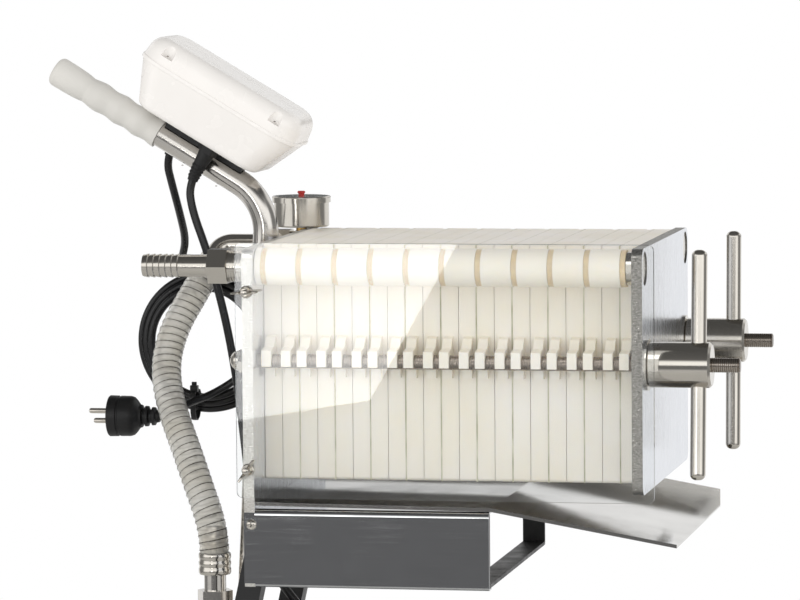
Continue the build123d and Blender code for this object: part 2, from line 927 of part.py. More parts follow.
# Pressure gauge, dial up, on a brass stem screwed into the inlet's threaded end
gauge_x = head_x - gauge_offset
gauge_z = rod_z + head_top + gauge_gap
with BuildPart() as gauge_stem:
    with BuildSketch(level(rod_z + port_height, gauge_x, port_reach)):
        Circle(stem_radius)
    extrude(amount=gauge_z - seat_gap - rod_z - port_height)
    with BuildSketch(across(gauge_x - 2 * stem_radius)):
        with Locations((port_reach, port_height)):
            Circle(fitting_thread_radius + seat_gap)
    extrude(amount=4 * stem_radius, mode=Mode.SUBTRACT)
gauge_stem.part.label = "gauge_stem"

with BuildPart() as gauge_case:
    with BuildSketch(level(gauge_z, gauge_x, port_reach)):
        Circle(gauge_radius)
    extrude(amount=gauge_height)
    fillet(gauge_case.edges().filter_by(GeomType.CIRCLE).group_by(Axis.Z)[0], 1.5)
    with BuildSketch(level(gauge_z + gauge_height - gauge_bezel_height, gauge_x, port_reach)):
        Circle(gauge_bezel_radius)
    extrude(amount=gauge_bezel_height)
    fillet(gauge_case.edges().filter_by(GeomType.CIRCLE).group_by(Axis.Z)[-1], 1.2)
    with BuildSketch(level(gauge_z + gauge_height, gauge_x, port_reach)):
        Circle(gauge_bezel_radius - gauge_rim)
    extrude(amount=-gauge_recess, mode=Mode.SUBTRACT)
gauge_case.part.label = "gauge_case"

with BuildPart() as gauge_dial:
    dial_z = gauge_z + gauge_height - gauge_recess + seat_gap
    with BuildSketch(level(dial_z, gauge_x, port_reach)):
        Circle(gauge_bezel_radius - gauge_rim - seat_gap)
    extrude(amount=gauge_dial_thickness)
gauge_dial.part.label = "gauge_dial"

# Splayed black legs: each has a shoulder that the head plate stands on
leg_width = leg_size / cos(splay)
leg_face = -seat_gap
shoulder_drop = head_bottom + seat_gap
rail_z = wheel_radius
rail_top_drop = rod_z - rail_z - rail_size / 2 - seat_gap


def leg_left(drop):
    """Place of a leg's left edge from the head's outer face, at a drop."""
    return leg_face - (drop - leg_top) * tan(splay)


cross_bar_drop = column_foot - 17.0
cross_bar_x = head_x - column_offset + tube_radius / cos(lean)
cross_bar_x -= (cross_bar_drop - cross_bar_height / 2 + head_top) * tan(lean) - press_gap
with BuildPart() as leg_frame:
    for y in (-leg_reach, leg_reach):
        with BuildSketch(facing(y + leg_size / 2)):
            with BuildLine():
                Polyline(
                    (leg_face, -leg_top),
                    (leg_face, -shoulder_drop),
                    (leg_left(shoulder_drop) + leg_width, -shoulder_drop),
                    (leg_left(rail_top_drop) + leg_width, -rail_top_drop),
                    (leg_left(rail_top_drop), -rail_top_drop),
                    close=True,
                )
            make_face()
        extrude(amount=leg_size)
    with BuildSketch(level(rod_z - cross_bar_drop - cross_bar_height / 2)):
        with Locations((cross_bar_x + cross_bar_thickness / 2, 0)):
            Rectangle(cross_bar_thickness, 2 * leg_reach - leg_size - 2 * seat_gap)
    extrude(amount=cross_bar_height)
leg_frame.part.label = "leg_frame"

# Base: two rails with a front post each, a cross tube and a plate
rail_left_x = head_x - rail_left + 11.5
rail_right_x = rail_left_x + rail_length
post_x = rail_right_x - post_width / 2
axle_x = head_x - axle_back
with BuildPart() as base_rails:
    for y in (-leg_reach, leg_reach):
        with BuildSketch(across(rail_left_x, y, rail_z)):
            Rectangle(rail_size, rail_size)
        extrude(amount=rail_length)
        with BuildSketch(level(foot_height, post_x, y)):
            Rectangle(post_width, rail_size)
        extrude(amount=rail_z - foot_height)
    with BuildSketch(facing(leg_reach + rail_size, axle_x, rail_z)):
        Circle(axle_diameter / 2 + seat_gap)
    extrude(amount=2 * (leg_reach + rail_size), mode=Mode.SUBTRACT)
base_rails.part.label = "base_rails"

with BuildPart() as front_cross_tube:
    with BuildSketch(facing(leg_reach - rail_size / 2 - seat_gap, post_x, rail_z)):
        Rectangle(rail_size, rail_size)
        Rectangle(rail_size - 4, rail_size - 4, mode=Mode.SUBTRACT)
    extrude(amount=2 * leg_reach - rail_size - 2 * seat_gap)
front_cross_tube.part.label = "front_cross_tube"

with BuildPart() as rubber_feet:
    with BuildSketch(level(0, post_x)):
        with Locations((0, -leg_reach), (0, leg_reach)):
            Circle(foot_radius)
    extrude(amount=foot_height - seat_gap, taper=6)
rubber_feet.part.label = "rubber_feet"

base_plate_x = head_x - base_plate_back
base_plate_z = rail_z + rail_size / 2 + seat_gap
with BuildPart() as base_plate:
    with BuildSketch(level(base_plate_z, base_plate_x + base_plate_length / 2)):
        RectangleRounded(base_plate_length, 2 * leg_reach + rail_size, 4)
    extrude(amount=base_plate_thickness)
base_plate.part.label = "base_plate"

# Wheels: rubber tyre, moulded hub with five holes, and the axle
with BuildPart() as wheel_tyres:
    for y in (-wheel_reach, wheel_reach):
        with BuildSketch(Plane.YZ.offset(axle_x)):
            with Locations((y, rail_z + (wheel_radius + wheel_inner_radius) / 2)):
                RectangleRounded(tyre_width, wheel_radius - wheel_inner_radius, 6)
        revolve(axis=Axis((axle_x, 0, rail_z), (0, 1, 0)))
wheel_tyres.part.label = "wheel_tyres"

with BuildPart() as wheel_hubs:
    for y in (-wheel_reach, wheel_reach):
        with BuildSketch(facing(y + hub_web / 2, axle_x, rail_z)):
            Circle(wheel_inner_radius - seat_gap)
            with PolarLocations(wheel_inner_radius * 0.6, hub_hole_count):
                Circle(hub_hole, mode=Mode.SUBTRACT)
        extrude(amount=hub_web)
        with BuildSketch(facing(y + hub_half, axle_x, rail_z)):
            Circle(hub_core)
        extrude(amount=2 * hub_half)
        with BuildSketch(facing(y + hub_half, axle_x, rail_z)):
            Circle(axle_diameter / 2 + seat_gap)
        extrude(amount=2 * hub_half, mode=Mode.SUBTRACT)
wheel_hubs.part.label = "wheel_hubs"

axle_half = wheel_reach + hub_half + seat_gap
with BuildPart() as wheel_axle:
    with BuildSketch(facing(axle_half + 1, axle_x, rail_z)):
        Circle(axle_diameter / 2)
    extrude(amount=2 * axle_half + 2)
    with BuildSketch(facing(axle_half + axle_cap_length, axle_x, rail_z)):
        Circle(axle_cap_radius)
    extrude(amount=axle_cap_length)
    with BuildSketch(facing(-axle_half, axle_x, rail_z)):
        Circle(axle_cap_radius)
    extrude(amount=axle_cap_length)
    fillet(
        wheel_axle.edges().filter_by(GeomType.CIRCLE).group_by(Axis.Y)[0]
        + wheel_axle.edges().filter_by(GeomType.CIRCLE).group_by(Axis.Y)[-1],
        3,
    )
wheel_axle.part.label = "wheel_axle"

# Motor on the base plate, with cooling fins, feet and a fan cover
motor_z = base_plate_z + base_plate_thickness + motor_axis_height
pump_x = head_x - pump_middle
lantern_x = pump_x + pump_length / 2 + seat_gap
motor_x = lantern_x + lantern_length
foot_z = base_plate_z + base_plate_thickness + seat_gap
with BuildPart() as pump_motor:
    with BuildSketch(across(lantern_x, 0, motor_z)):
        Circle(lantern_radius)
    extrude(amount=lantern_length)
    with BuildSketch(across(motor_x, 0, motor_z)):
        Circle(motor_radius - fin_height)
        with PolarLocations(motor_radius - fin_height / 2 - 1, fin_count):
            Rectangle(fin_height + 2, fin_thickness)
    extrude(amount=motor_length)
    with BuildSketch(across(motor_x, 0, motor_z)):
        Circle(motor_radius)
    extrude(amount=motor_flange)
    with BuildSketch(across(motor_x + motor_length, 0, motor_z)):
        Circle(motor_radius)
    extrude(amount=fan_cover_length)
    rim = pump_motor.edges().filter_by(GeomType.CIRCLE).group_by(Axis.X)[-1]
    fillet(rim, fan_cover_edge)
    with BuildSketch(level(foot_z, motor_x + motor_length / 2)):
        with Locations((0, -motor_foot_reach), (0, motor_foot_reach)):
            Rectangle(motor_foot_length, motor_foot_width)
    extrude(amount=motor_axis_height - motor_foot_reach)
pump_motor.part.label = "pump_motor"

terminal_x = motor_x + terminal_shift
terminal_z = motor_z + motor_radius + seat_gap
terminal_gland_x = terminal_x - terminal_gland_shift
with BuildPart() as motor_terminal_box:
    with BuildSketch(level(terminal_z, terminal_x)):
        RectangleRounded(terminal_length, terminal_width, terminal_corner)
    extrude(amount=terminal_height)
    fillet(motor_terminal_box.faces().sort_by(Axis.Z)[-1].edges(), terminal_edge)
    gland_foot = level(
        terminal_z + terminal_height - 1, terminal_gland_x, -terminal_gland_side
    )
    with BuildSketch(gland_foot):
        RegularPolygon(terminal_gland_radius, 6)
    extrude(amount=terminal_nut)
    with BuildSketch(gland_foot):
        Circle(terminal_gland_radius - 1.5)
    extrude(amount=terminal_gland, taper=8)
motor_terminal_box.part.label = "motor_terminal_box"

# Pump: round body with a cover, an inlet tail to the left and an outlet neck
with BuildPart() as pump_body:
    with BuildSketch(across(pump_x - pump_length / 2, 0, motor_z)):
        Circle(pump_radius)
    extrude(amount=pump_length)
    fillet(pump_body.edges().filter_by(GeomType.CIRCLE).group_by(Axis.X)[0], pump_edge)
    with BuildSketch(facing(0, pump_x - pump_length / 2 - pump_tail, motor_z)):
        with BuildLine():
            barb_line(pump_tail, barb_radius)
        make_face()
    revolve(axis=Axis((0, 0, motor_z), (1, 0, 0)))
    with BuildSketch(level(motor_z, pump_x)):
        Circle(pump_neck_radius)
    extrude(amount=pump_radius + pump_neck)
pump_body.part.label = "pump_body"

# Riser from the pump to the hose: pipe, union nut and hose tail
riser_foot_z = motor_z + pump_radius + pump_neck + seat_gap
with BuildPart() as pump_riser:
    with BuildSketch(level(riser_foot_z, pump_x)):
        Circle(riser_radius)
    extrude(amount=rod_z - riser_nut_top - riser_foot_z)
    with BuildSketch(level(rod_z - riser_nut_top - riser_nut_length, pump_x)):
        RegularPolygon(riser_nut_flats / 2, 6, major_radius=False)
    extrude(amount=riser_nut_length)
    with BuildSketch(level(rod_z - riser_nut_top, pump_x)):
        Circle(barb_radius)
    extrude(amount=riser_nut_top - riser_top)
pump_riser.part.label = "pump_riser"

# Delivery hose from the elbow to the riser, over both tails
hose_start = elbow_centre + elbow_way * (elbow_shoulder + seat_gap)
hose_points = [
    (hose_start.X, hose_start.Y, hose_start.Z),
    spot(-99.1, 102.0, 39.5),
    spot(-114.5, 84.0, 7.5),
    spot(-119.0, 68.5, -25.0),
    spot(-108.3, 48.5, -58.5),
    spot(-90.5, 27.5, -91.5),
    spot(-74.5, 10.5, -125.5),
    spot(-64.5, 3.0, -148.0),
    spot(-pump_middle, 0.0, -171.0),
    spot(-pump_middle, 0.0, -hose_end_drop),
]


def smooth_radii(points):
    """Arc radius at each corner: 0.45 of the shorter run over tan of half the turn."""
    corners = [Vector(*point) for point in points]
    radii = []
    for before, here, after in zip(corners, corners[1:], corners[2:]):
        run_in = here - before
        run_out = after - here
        half_turn = radians(run_in.get_angle(run_out)) / 2
        radii.append(0.45 * min(run_in.length, run_out.length) / tan(half_turn))
    return radii


def cord_part(points, radius, bore=0.0):
    """Tube along straight runs joined by tangent arcs."""
    corners = [Vector(*point) for point in points]
    radii = smooth_radii(points)
    with BuildPart() as cord:
        with BuildLine() as path:
            FilletPolyline(*corners, radius=radii)
        with BuildSketch(Plane(origin=corners[0], z_dir=corners[1] - corners[0])):
            Circle(radius)
            if bore:
                Circle(bore, mode=Mode.SUBTRACT)
        sweep()
    length = path.wires()[0].length
    section = pi * (radius * radius - bore * bore)
    print(
        "cord length", round(length, 1),
        "volume ratio", round(cord.part.volume / (section * length), 4),
        "radii", [round(value, 1) for value in radii],
    )
    return cord


delivery_hose = cord_part(hose_points, hose_radius, hose_bore)
delivery_hose.part.label = "delivery_hose"

# Band clamp on the hose over the riser's tail
with BuildPart() as hose_clamp:
    with BuildSketch(level(rod_z - hose_clamp_drop, pump_x)):
        Circle(hose_radius + 1.2)
        Circle(hose_radius + seat_gap, mode=Mode.SUBTRACT)
    extrude(amount=hose_clamp_width)
hose_clamp.part.label = "hose_clamp"


def gland_exit(shift, side, distance):
    """Point out of a gland's mouth, at a distance along the gland."""
    return gland_plane(shift, side).origin - tube_normal * (gland_length + distance)


# Motor lead: from its gland down behind the head to the terminal box
motor_exit = gland_exit(motor_gland_shift, -1, seat_gap)
motor_bend = gland_exit(motor_gland_shift, -1, 18)
terminal_top = terminal_z + terminal_height - 1 + terminal_gland
motor_lead_points = [
    (motor_exit.X, motor_exit.Y, motor_exit.Z),
    (motor_bend.X, motor_bend.Y, motor_bend.Z),
    spot(-70.5, -26.0, 121.0),
    spot(-56.0, -29.5, 84.0),
    spot(-41.5, -28.5, 30.0),
    spot(-31.8, -26.5, -28.0),
    spot(-25.4, -26.0, -83.0),
    spot(-20.0, -26.0, -138.0),
    spot(-11.5, -25.5, -180.0),
    spot(10.5, -23.0, -209.0),
    spot(32.0, -19.0, -236.0),
    (terminal_gland_x, -terminal_gland_side, terminal_top + 26),
    (terminal_gland_x, -terminal_gland_side, terminal_top + seat_gap),
]
motor_lead = cord_part(motor_lead_points, lead_radius)
motor_lead.part.label = "motor_lead"

# Mains lead: from its gland down behind the elbow to the tied coil
coil_centre = Vector(*spot(-100.0, 149.3, -7.6))
coil_near = coil_centre.Y - coil_depth / 2 - seat_gap
mains_exit = gland_exit(mains_gland_shift, 1, seat_gap)
mains_bend = gland_exit(mains_gland_shift, 1, 18)
mains_lead_points = [
    (mains_exit.X, mains_exit.Y, mains_exit.Z),
    (mains_bend.X, mains_bend.Y, mains_bend.Z),
    spot(-102.7, 34.0, 137.0),
    spot(-104.1, 54.0, 112.0),
    spot(-107.2, 82.0, 87.0),
    spot(-111.0, 102.0, 65.0),
    spot(-115.4, 118.0, 49.9),
    spot(-115.4, coil_near, 49.9),
]
mains_lead = cord_part(mains_lead_points, lead_radius)
mains_lead.part.label = "mains_lead"

# Mains lead's other end, from the coil to the plug
plug_lead_points = [
    spot(-131.4, 100.0, -71.0),
    spot(-110.0, 101.0, -70.6),
    spot(-96.5, 118.0, -67.0),
    spot(-96.5, coil_near, -67.0),
]
plug_lead = cord_part(plug_lead_points, lead_radius)
plug_lead.part.label = "plug_lead"

with BuildPart() as mains_coil:
    with BuildSketch(facing(coil_centre.Y + coil_depth / 2, coil_centre.X, coil_centre.Z)):
        Circle(coil_outer)
        Circle(coil_inner, mode=Mode.SUBTRACT)
    extrude(amount=coil_depth)
mains_coil.part.label = "mains_coil"

# Two-pin mains plug with its tapered tail
plug_tip = Vector(*spot(-194.0, 100.0, -71.0))
plug_face_x = plug_tip.X + plug_pin_length
plug_waist_x = plug_face_x + plug_body
pin_side = plug_pin_reach * cos(radians(plug_pin_turn))
pin_rise = plug_pin_reach * sin(radians(plug_pin_turn))
with BuildPart() as mains_plug:
    with BuildSketch(across(plug_face_x, plug_tip.Y, plug_tip.Z)):
        Circle(mains_plug_radius)
    with BuildSketch(across(plug_waist_x, plug_tip.Y, plug_tip.Z)):
        Circle(plug_waist)
    loft()
    with BuildSketch(across(plug_waist_x, plug_tip.Y, plug_tip.Z)):
        Circle(plug_tail_radius)
    extrude(amount=plug_tail, taper=8)
    with BuildSketch(across(plug_tip.X, plug_tip.Y, plug_tip.Z)):
        with Locations((-pin_side, pin_rise), (pin_side, -pin_rise)):
            Circle(plug_pin_radius)
    extrude(amount=plug_pin_length + 1)
mains_plug.part.label = "mains_plug"

named_parts = [
    near_ear_plates, far_ear_plates, port_gaskets, head_plate, end_plate, port_plugs,
    tie_rods, cap_nuts, clamp_washers, near_tee_nut, far_tee_nut, splash_guard,
    guard_wing_nuts, front_apron, drip_tray, tray_strap, handle_tube, handle_grip,
    switch_box_base, switch_box_lid, box_saddle, cable_glands, outlet_spigot,
    inlet_elbow, gauge_stem, gauge_case, gauge_dial, leg_frame, base_rails,
    front_cross_tube, rubber_feet, base_plate, wheel_tyres, wheel_hubs, wheel_axle,
    pump_motor, motor_terminal_box, pump_body, pump_riser, delivery_hose, hose_clamp,
    motor_lead, mains_lead, plug_lead, mains_coil, mains_plug,
]
for piece in named_parts:
    export_step(piece.part, "parts/" + piece.part.label + ".step")
print("origin to head outer face", round(head_x, 3), "stack", round(stack_x, 3))
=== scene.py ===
"""Looks of a small plate filter press on its trolley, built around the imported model.

Lengths are metres. X runs to the moving end plate, Y to the far side, Z up.
"""

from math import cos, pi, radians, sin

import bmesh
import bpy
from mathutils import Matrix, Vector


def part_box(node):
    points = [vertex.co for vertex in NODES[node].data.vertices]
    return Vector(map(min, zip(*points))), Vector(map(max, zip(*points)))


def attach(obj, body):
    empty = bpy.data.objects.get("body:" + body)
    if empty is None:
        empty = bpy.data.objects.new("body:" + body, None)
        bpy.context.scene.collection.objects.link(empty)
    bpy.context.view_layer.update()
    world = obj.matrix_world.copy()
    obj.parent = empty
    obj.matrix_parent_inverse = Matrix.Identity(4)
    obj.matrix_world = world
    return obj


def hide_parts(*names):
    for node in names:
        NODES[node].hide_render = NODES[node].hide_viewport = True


bl_info = {
    "name": "Plate filter press",
    "version": (1, 0, 0),
    "blender": (4, 5, 0),
    "location": "View3D > Sidebar > Filter press",
    "description": "Dresses the packed filter press in its finishes, leads and small parts",
    "category": "Object",
}

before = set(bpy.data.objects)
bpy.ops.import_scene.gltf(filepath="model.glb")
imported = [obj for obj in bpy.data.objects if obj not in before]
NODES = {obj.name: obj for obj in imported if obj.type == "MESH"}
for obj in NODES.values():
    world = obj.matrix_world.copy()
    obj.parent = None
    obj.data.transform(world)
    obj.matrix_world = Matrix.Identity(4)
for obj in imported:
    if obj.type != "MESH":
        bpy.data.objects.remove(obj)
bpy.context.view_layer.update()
FRAME_BODY = "press_frame"

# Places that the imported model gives
HEAD_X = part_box("head_plate")[0].x
HEAD_INNER_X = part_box("head_plate")[1].x
ROD_Z = (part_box("tie_rods")[0].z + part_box("tie_rods")[1].z) / 2
RISER_BEHIND_HEAD = 0.0595
TERMINAL_PAST_RISER = 0.1332
TERMINAL_X = HEAD_X - RISER_BEHIND_HEAD + TERMINAL_PAST_RISER
TERMINAL_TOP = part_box("motor_terminal_box")[1].z


def spot(x, y, z):
    """Point in millimetres from the head's outer face, the middle and the rods' height."""
    return Vector((HEAD_X + x / 1000, y / 1000, ROD_Z + z / 1000))


# The sloping part of the handle tube carries the switch box
SLOPE = radians(31.0)
TUBE_OUT = Vector((-cos(SLOPE), 0, sin(SLOPE)))
TUBE_NORMAL = Vector((sin(SLOPE), 0, cos(SLOPE)))
SLOPE_FOOT = spot(-9.808, 0, 128)
BOX_UP_SLOPE = 0.0758
BOX_MIDDLE = SLOPE_FOOT + TUBE_OUT * BOX_UP_SLOPE


def on_box(along, side, rise):
    """Point in millimetres on the box: towards the press, to the far side, off the tube."""
    return BOX_MIDDLE + (-TUBE_OUT * along + Vector((0, side, 0)) + TUBE_NORMAL * rise) / 1000


# Routes of the hose and the leads, the same as the solids' routes
ELBOW_CORNER = spot(-78.5, 125, 80)
ELBOW_WAY = Vector((
    -sin(radians(24)),
    -sin(radians(30)) * cos(radians(24)),
    -cos(radians(30)) * cos(radians(24)),
))
HOSE_ROUTE = (
    ELBOW_CORNER + ELBOW_WAY * 0.0202,
    spot(-99.1, 102, 39.5),
    spot(-114.5, 84, 7.5),
    spot(-119, 68.5, -25),
    spot(-108.3, 48.5, -58.5),
    spot(-90.5, 27.5, -91.5),
    spot(-74.5, 10.5, -125.5),
    spot(-64.5, 3, -148),
    spot(-59.5, 0, -171),
    spot(-59.5, 0, -194),
)
MOTOR_LEAD_ROUTE = (
    on_box(13.8, -24, -2.0),
    on_box(13.8, -24, -19.8),
    spot(-70.5, -26, 121),
    spot(-56, -29.5, 84),
    spot(-41.5, -28.5, 30),
    spot(-31.8, -26.5, -28),
    spot(-25.4, -26, -83),
    spot(-20, -26, -138),
    spot(-11.5, -25.5, -180),
    spot(10.5, -23, -209),
    spot(32, -19, -236),
    Vector((TERMINAL_X - 0.03, -0.014, TERMINAL_TOP + 0.026)),
    Vector((TERMINAL_X - 0.03, -0.014, TERMINAL_TOP + 0.0002)),
)
MAINS_START = (
    on_box(-23.6, 24, -2.0),
    on_box(-23.6, 24, -19.8),
    spot(-101.5, 34, 137),
    spot(-100, 54, 112),
    spot(-101.5, 82, 87),
    spot(-109.6, 98.5, 69.5),
    spot(-114.1, 124.2, 68.3),
    spot(-109.6, 141.8, 67),
    spot(-98.5, 154, 61.8),
)
MAINS_END = (
    spot(-93, 141.8, -55.5),
    spot(-111, 125, -60.8),
    spot(-119.1, 106.3, -68.9),
    spot(-131.4, 100, -71),
)


def length_property(name, description, default):
    """A length that a user may change."""
    return bpy.props.FloatProperty(
        name=name, description=description, default=default, unit="LENGTH"
    )


class PressSizes(bpy.types.PropertyGroup):
    """Sizes of the small parts that a user may change."""

    hose_diameter: length_property("Hose diameter", "Outside of the clear hose", 0.026)
    hose_bore: length_property("Hose bore", "Inside of the clear hose", 0.0212)
    wire_pitch: length_property("Spiral pitch", "Distance between turns of the steel spiral", 0.0066)
    wire_diameter: length_property("Spiral wire", "Thickness of the steel spiral", 0.0009)
    lead_diameter: length_property("Lead diameter", "Outside of the black leads", 0.007)
    rod_pitch: length_property("Rod thread pitch", "Pitch of the thread on the tie rods", 0.00175)
    screw_head: length_property("Screw head", "Diameter of the small pan head screws", 0.007)
    sheet_thickness: length_property("Filter sheet", "Thickness of a filter sheet", 0.0016)
    coil_turns: bpy.props.IntProperty(
        name="Coil turns", description="Turns of the stored mains lead", default=4, min=1, max=8
    )


def colour_of(text):
    """An sRGB hex colour as the linear colour that Blender works in."""
    channels = [int(text[i:i + 2], 16) / 255 for i in (0, 2, 4)]
    return [c / 12.92 if c <= 0.04045 else ((c + 0.055) / 1.055) ** 2.4 for c in channels] + [1.0]


def colour_property(name, description, text):
    """A colour that a user may change."""
    return bpy.props.FloatVectorProperty(
        name=name, description=description, subtype="COLOR", size=4, min=0, max=1,
        default=colour_of(text),
    )


class PressColours(bpy.types.PropertyGroup):
    """Colours of the finishes that a user may change."""

    plates: colour_property("Filter plates", "Milled natural polypropylene", "FDF6EE")
    rings: colour_property("Port rings", "Amber silicone", "EDD5B3")
    box: colour_property("Switch box", "Moulded off-white ABS", "F4F1EE")
    grip: colour_property("Grip", "Light grey PVC", "DCDAD5")
    leads: colour_property("Leads", "Black PVC", "131314")
    motor: colour_property("Motor", "Grey enamel", "8F969C")
    floor: colour_property("Floor", "Pale studio floor", "E9E9E8")


# Node and mesh helpers


def add(tree, kind, inputs=None, **settings):
    """Adds a node with its settings, and sets or links its inputs."""
    made = tree.nodes.new(kind)
    for name, value in settings.items():
        setattr(made, name, value)
    for name, value in (inputs or {}).items():
        if isinstance(value, bpy.types.NodeSocket):
            tree.links.new(value, made.inputs[name])
        else:
            made.inputs[name].default_value = value
    return made


def maths(tree, first, second=0.0, operation="MULTIPLY"):
    """The result of one sum on two values."""
    return add(tree, "ShaderNodeMath", {0: first, 1: second}, operation=operation).outputs[0]


def let_through(tree, share, shader, colour=(1, 1, 1, 1)):
    """Lets a share of the rays pass a material's shader."""
    clear = add(tree, "ShaderNodeBsdfTransparent", {"Color": colour})
    both = add(tree, "ShaderNodeMixShader", {0: share, 1: shader.outputs[0], 2: clear.outputs[0]})
    output = next(node for node in tree.nodes if node.type == "OUTPUT_MATERIAL")
    tree.links.new(both.outputs[0], output.inputs[0])


def begin_finish(name, colour, roughness, metallic=0.0, **sockets):
    """A material with one shader; its sockets hold what is the same all over."""
    material = bpy.data.materials.new(name)
    material.use_nodes = True
    tree = material.node_tree
    tree.nodes.clear()
    values = {"Base Color": colour, "Roughness": roughness, "Metallic": metallic}
    values.update({key.replace("_", " "): value for key, value in sockets.items()})
    shader = add(tree, "ShaderNodeBsdfPrincipled", values)
    add(tree, "ShaderNodeOutputMaterial", {"Surface": shader.outputs[0]})
    place = add(tree, "ShaderNodeTexCoord").outputs["Object"]
    return material, tree, shader, place


def patches(tree, place, size_mm, low, high, stretch=(1, 1, 1), detail=2.0):
    """A value from low to high in patches of a size in millimetres, longer where stretch is small."""
    scaled = add(tree, "ShaderNodeVectorMath", {0: place, 1: stretch}, operation="MULTIPLY")
    noise = add(
        tree, "ShaderNodeTexNoise",
        {"Vector": scaled.outputs[0], "Scale": 1000 / size_mm, "Detail": detail},
    )
    return add(
        tree, "ShaderNodeMapRange",
        {"Value": noise.outputs[0], "From Min": 0.3, "From Max": 0.7, "To Min": low, "To Max": high},
    ).outputs[0]


def two_tone(tree, factor, first, second):
    """Colour that goes from the first to the second with a factor."""
    return add(
        tree, "ShaderNodeMix", {0: factor, 6: first, 7: second}, data_type="RGBA"
    ).outputs[2]


def shade_of(colour, share):
    """The colour with its light cut to a share."""
    return [channel * share for channel in colour[:3]] + [1.0]


def link(tree, shader, **sockets):
    """Links outputs to the shader's sockets."""
    for name, output in sockets.items():
        tree.links.new(output, shader.inputs[name.replace("_", " ")])


def relief(tree, shader, height, depth_mm):
    """Gives the surface a relief of a depth in millimetres."""
    bump = add(tree, "ShaderNodeBump", {"Height": height, "Distance": depth_mm / 1000})
    tree.links.new(bump.outputs[0], shader.inputs["Normal"])


def polypropylene(colour):
    # Natural polypropylene milled flat: waxy, faintly see-through at its edges,
    # in cloudy off-whites, with the soft lines of the cutter.
    material, tree, shader, place = begin_finish(
        "Milled natural polypropylene", colour, 0.42,
        Subsurface_Weight=0.22, Subsurface_Radius=(0.006, 0.005, 0.0035), Subsurface_Scale=1.0,
    )
    cloud = patches(tree, place, 70, 0, 1)
    creamier = [colour[0] * 0.94, colour[1] * 0.93, colour[2] * 0.86, 1]
    link(
        tree, shader,
        Base_Color=two_tone(tree, cloud, colour, creamier),
        Roughness=patches(tree, place, 25, 0.36, 0.5),
    )
    # Cutter lines are 0.3 mm apart, drawn at 1.5 mm so that they show
    relief(tree, shader, patches(tree, place, 1.5, 0, 1, (1, 1, 0.06)), 0.03)
    return material


def silicone(colour):
    # Amber silicone rubber: soft, even, see-through enough to glow where it is thin
    material, tree, shader, place = begin_finish(
        "Amber silicone rubber", colour, 0.38,
        Subsurface_Weight=0.4, Subsurface_Radius=(0.006, 0.004, 0.002), Subsurface_Scale=1.0,
    )
    cloud = patches(tree, place, 8, 0, 1)
    link(tree, shader, Base_Color=two_tone(tree, cloud, colour, shade_of(colour, 0.85)))
    relief(tree, shader, patches(tree, place, 2, 0, 1), 0.02)
    return material


def stainless(name, colour, low, high, grain_mm, stretch, depth_mm=0.004, cloud_mm=60):
    """Stainless steel with a grain that runs where stretch is small."""
    material, tree, shader, place = begin_finish(name, colour, low, 1.0)
    grain = patches(tree, place, grain_mm, 0, 1, stretch, 3.0)
    smear = patches(tree, place, cloud_mm, 0, 1)
    link(
        tree, shader,
        Roughness=add(
            tree, "ShaderNodeMapRange",
            {"Value": maths(tree, grain, smear), "To Min": low, "To Max": high, "From Max": 0.6},
        ).outputs[0],
        Base_Color=two_tone(tree, smear, colour, shade_of(colour, 0.9)),
    )
    relief(tree, shader, grain, depth_mm)
    return material


def cut_plate_steel(name, light, dark):
    # A thick stainless plate, ground on its faces; its cut edges are pitted and dull
    base = colour_of("E3E6EC")
    material, tree, shader, place = begin_finish(name, base, 0.24, 1.0)
    normal = add(tree, "ShaderNodeNewGeometry").outputs["Normal"]
    along = add(tree, "ShaderNodeSeparateXYZ", {0: normal}).outputs[0]
    facing = maths(tree, along, operation="ABSOLUTE")
    edge = add(
        tree, "ShaderNodeMapRange", {"Value": facing, "From Min": 0.7, "From Max": 0.3}
    ).outputs[0]
    # The torch leaves lines across the edge about 1 mm apart
    torch = patches(tree, place, 1.2, 0, 1, (0.5, 0.5, 1), 4.0)
    pits = maths(tree, torch, edge)
    grind = patches(tree, place, 1.0, 0.18, 0.3, (1, 1, 0.04))
    dull = add(tree, "ShaderNodeMath", {0: pits, 1: 0.32, 2: grind}, operation="MULTIPLY_ADD")
    link(
        tree, shader,
        Roughness=dull.outputs[0],
        Base_Color=two_tone(tree, edge, base, two_tone(tree, torch, light, dark)),
    )
    relief(tree, shader, pits, 0.12)
    return material


def clear_acrylic():
    # Cast acrylic sheet: clear, with a polished face that mirrors the lamps
    material, tree, shader, place = begin_finish(
        "Cast clear acrylic", colour_of("FBFCFC"), 0.0, Transmission_Weight=1.0, IOR=1.49
    )
    link(tree, shader, Roughness=patches(tree, place, 30, 0.0, 0.02))
    # The thin sheet lets the lamps' light through to the plates behind it
    rays = add(tree, "ShaderNodeLightPath").outputs
    passing = maths(tree, rays["Is Shadow Ray"], rays["Is Diffuse Ray"], "MAXIMUM")
    let_through(tree, passing, shader, colour_of("FBFCFC"))
    return material


def powder_coat():
    # Black powder coat on steel: satin, with a fine orange peel
    colour = colour_of("1B1B1C")
    material, tree, shader, place = begin_finish("Black powder coat", colour, 0.45)
    link(
        tree, shader,
        Roughness=patches(tree, place, 20, 0.36, 0.52),
        Base_Color=two_tone(tree, patches(tree, place, 35, 0, 1), colour, colour_of("242425")),
    )
    relief(tree, shader, patches(tree, place, 2.2, 0, 1), 0.05)
    return material


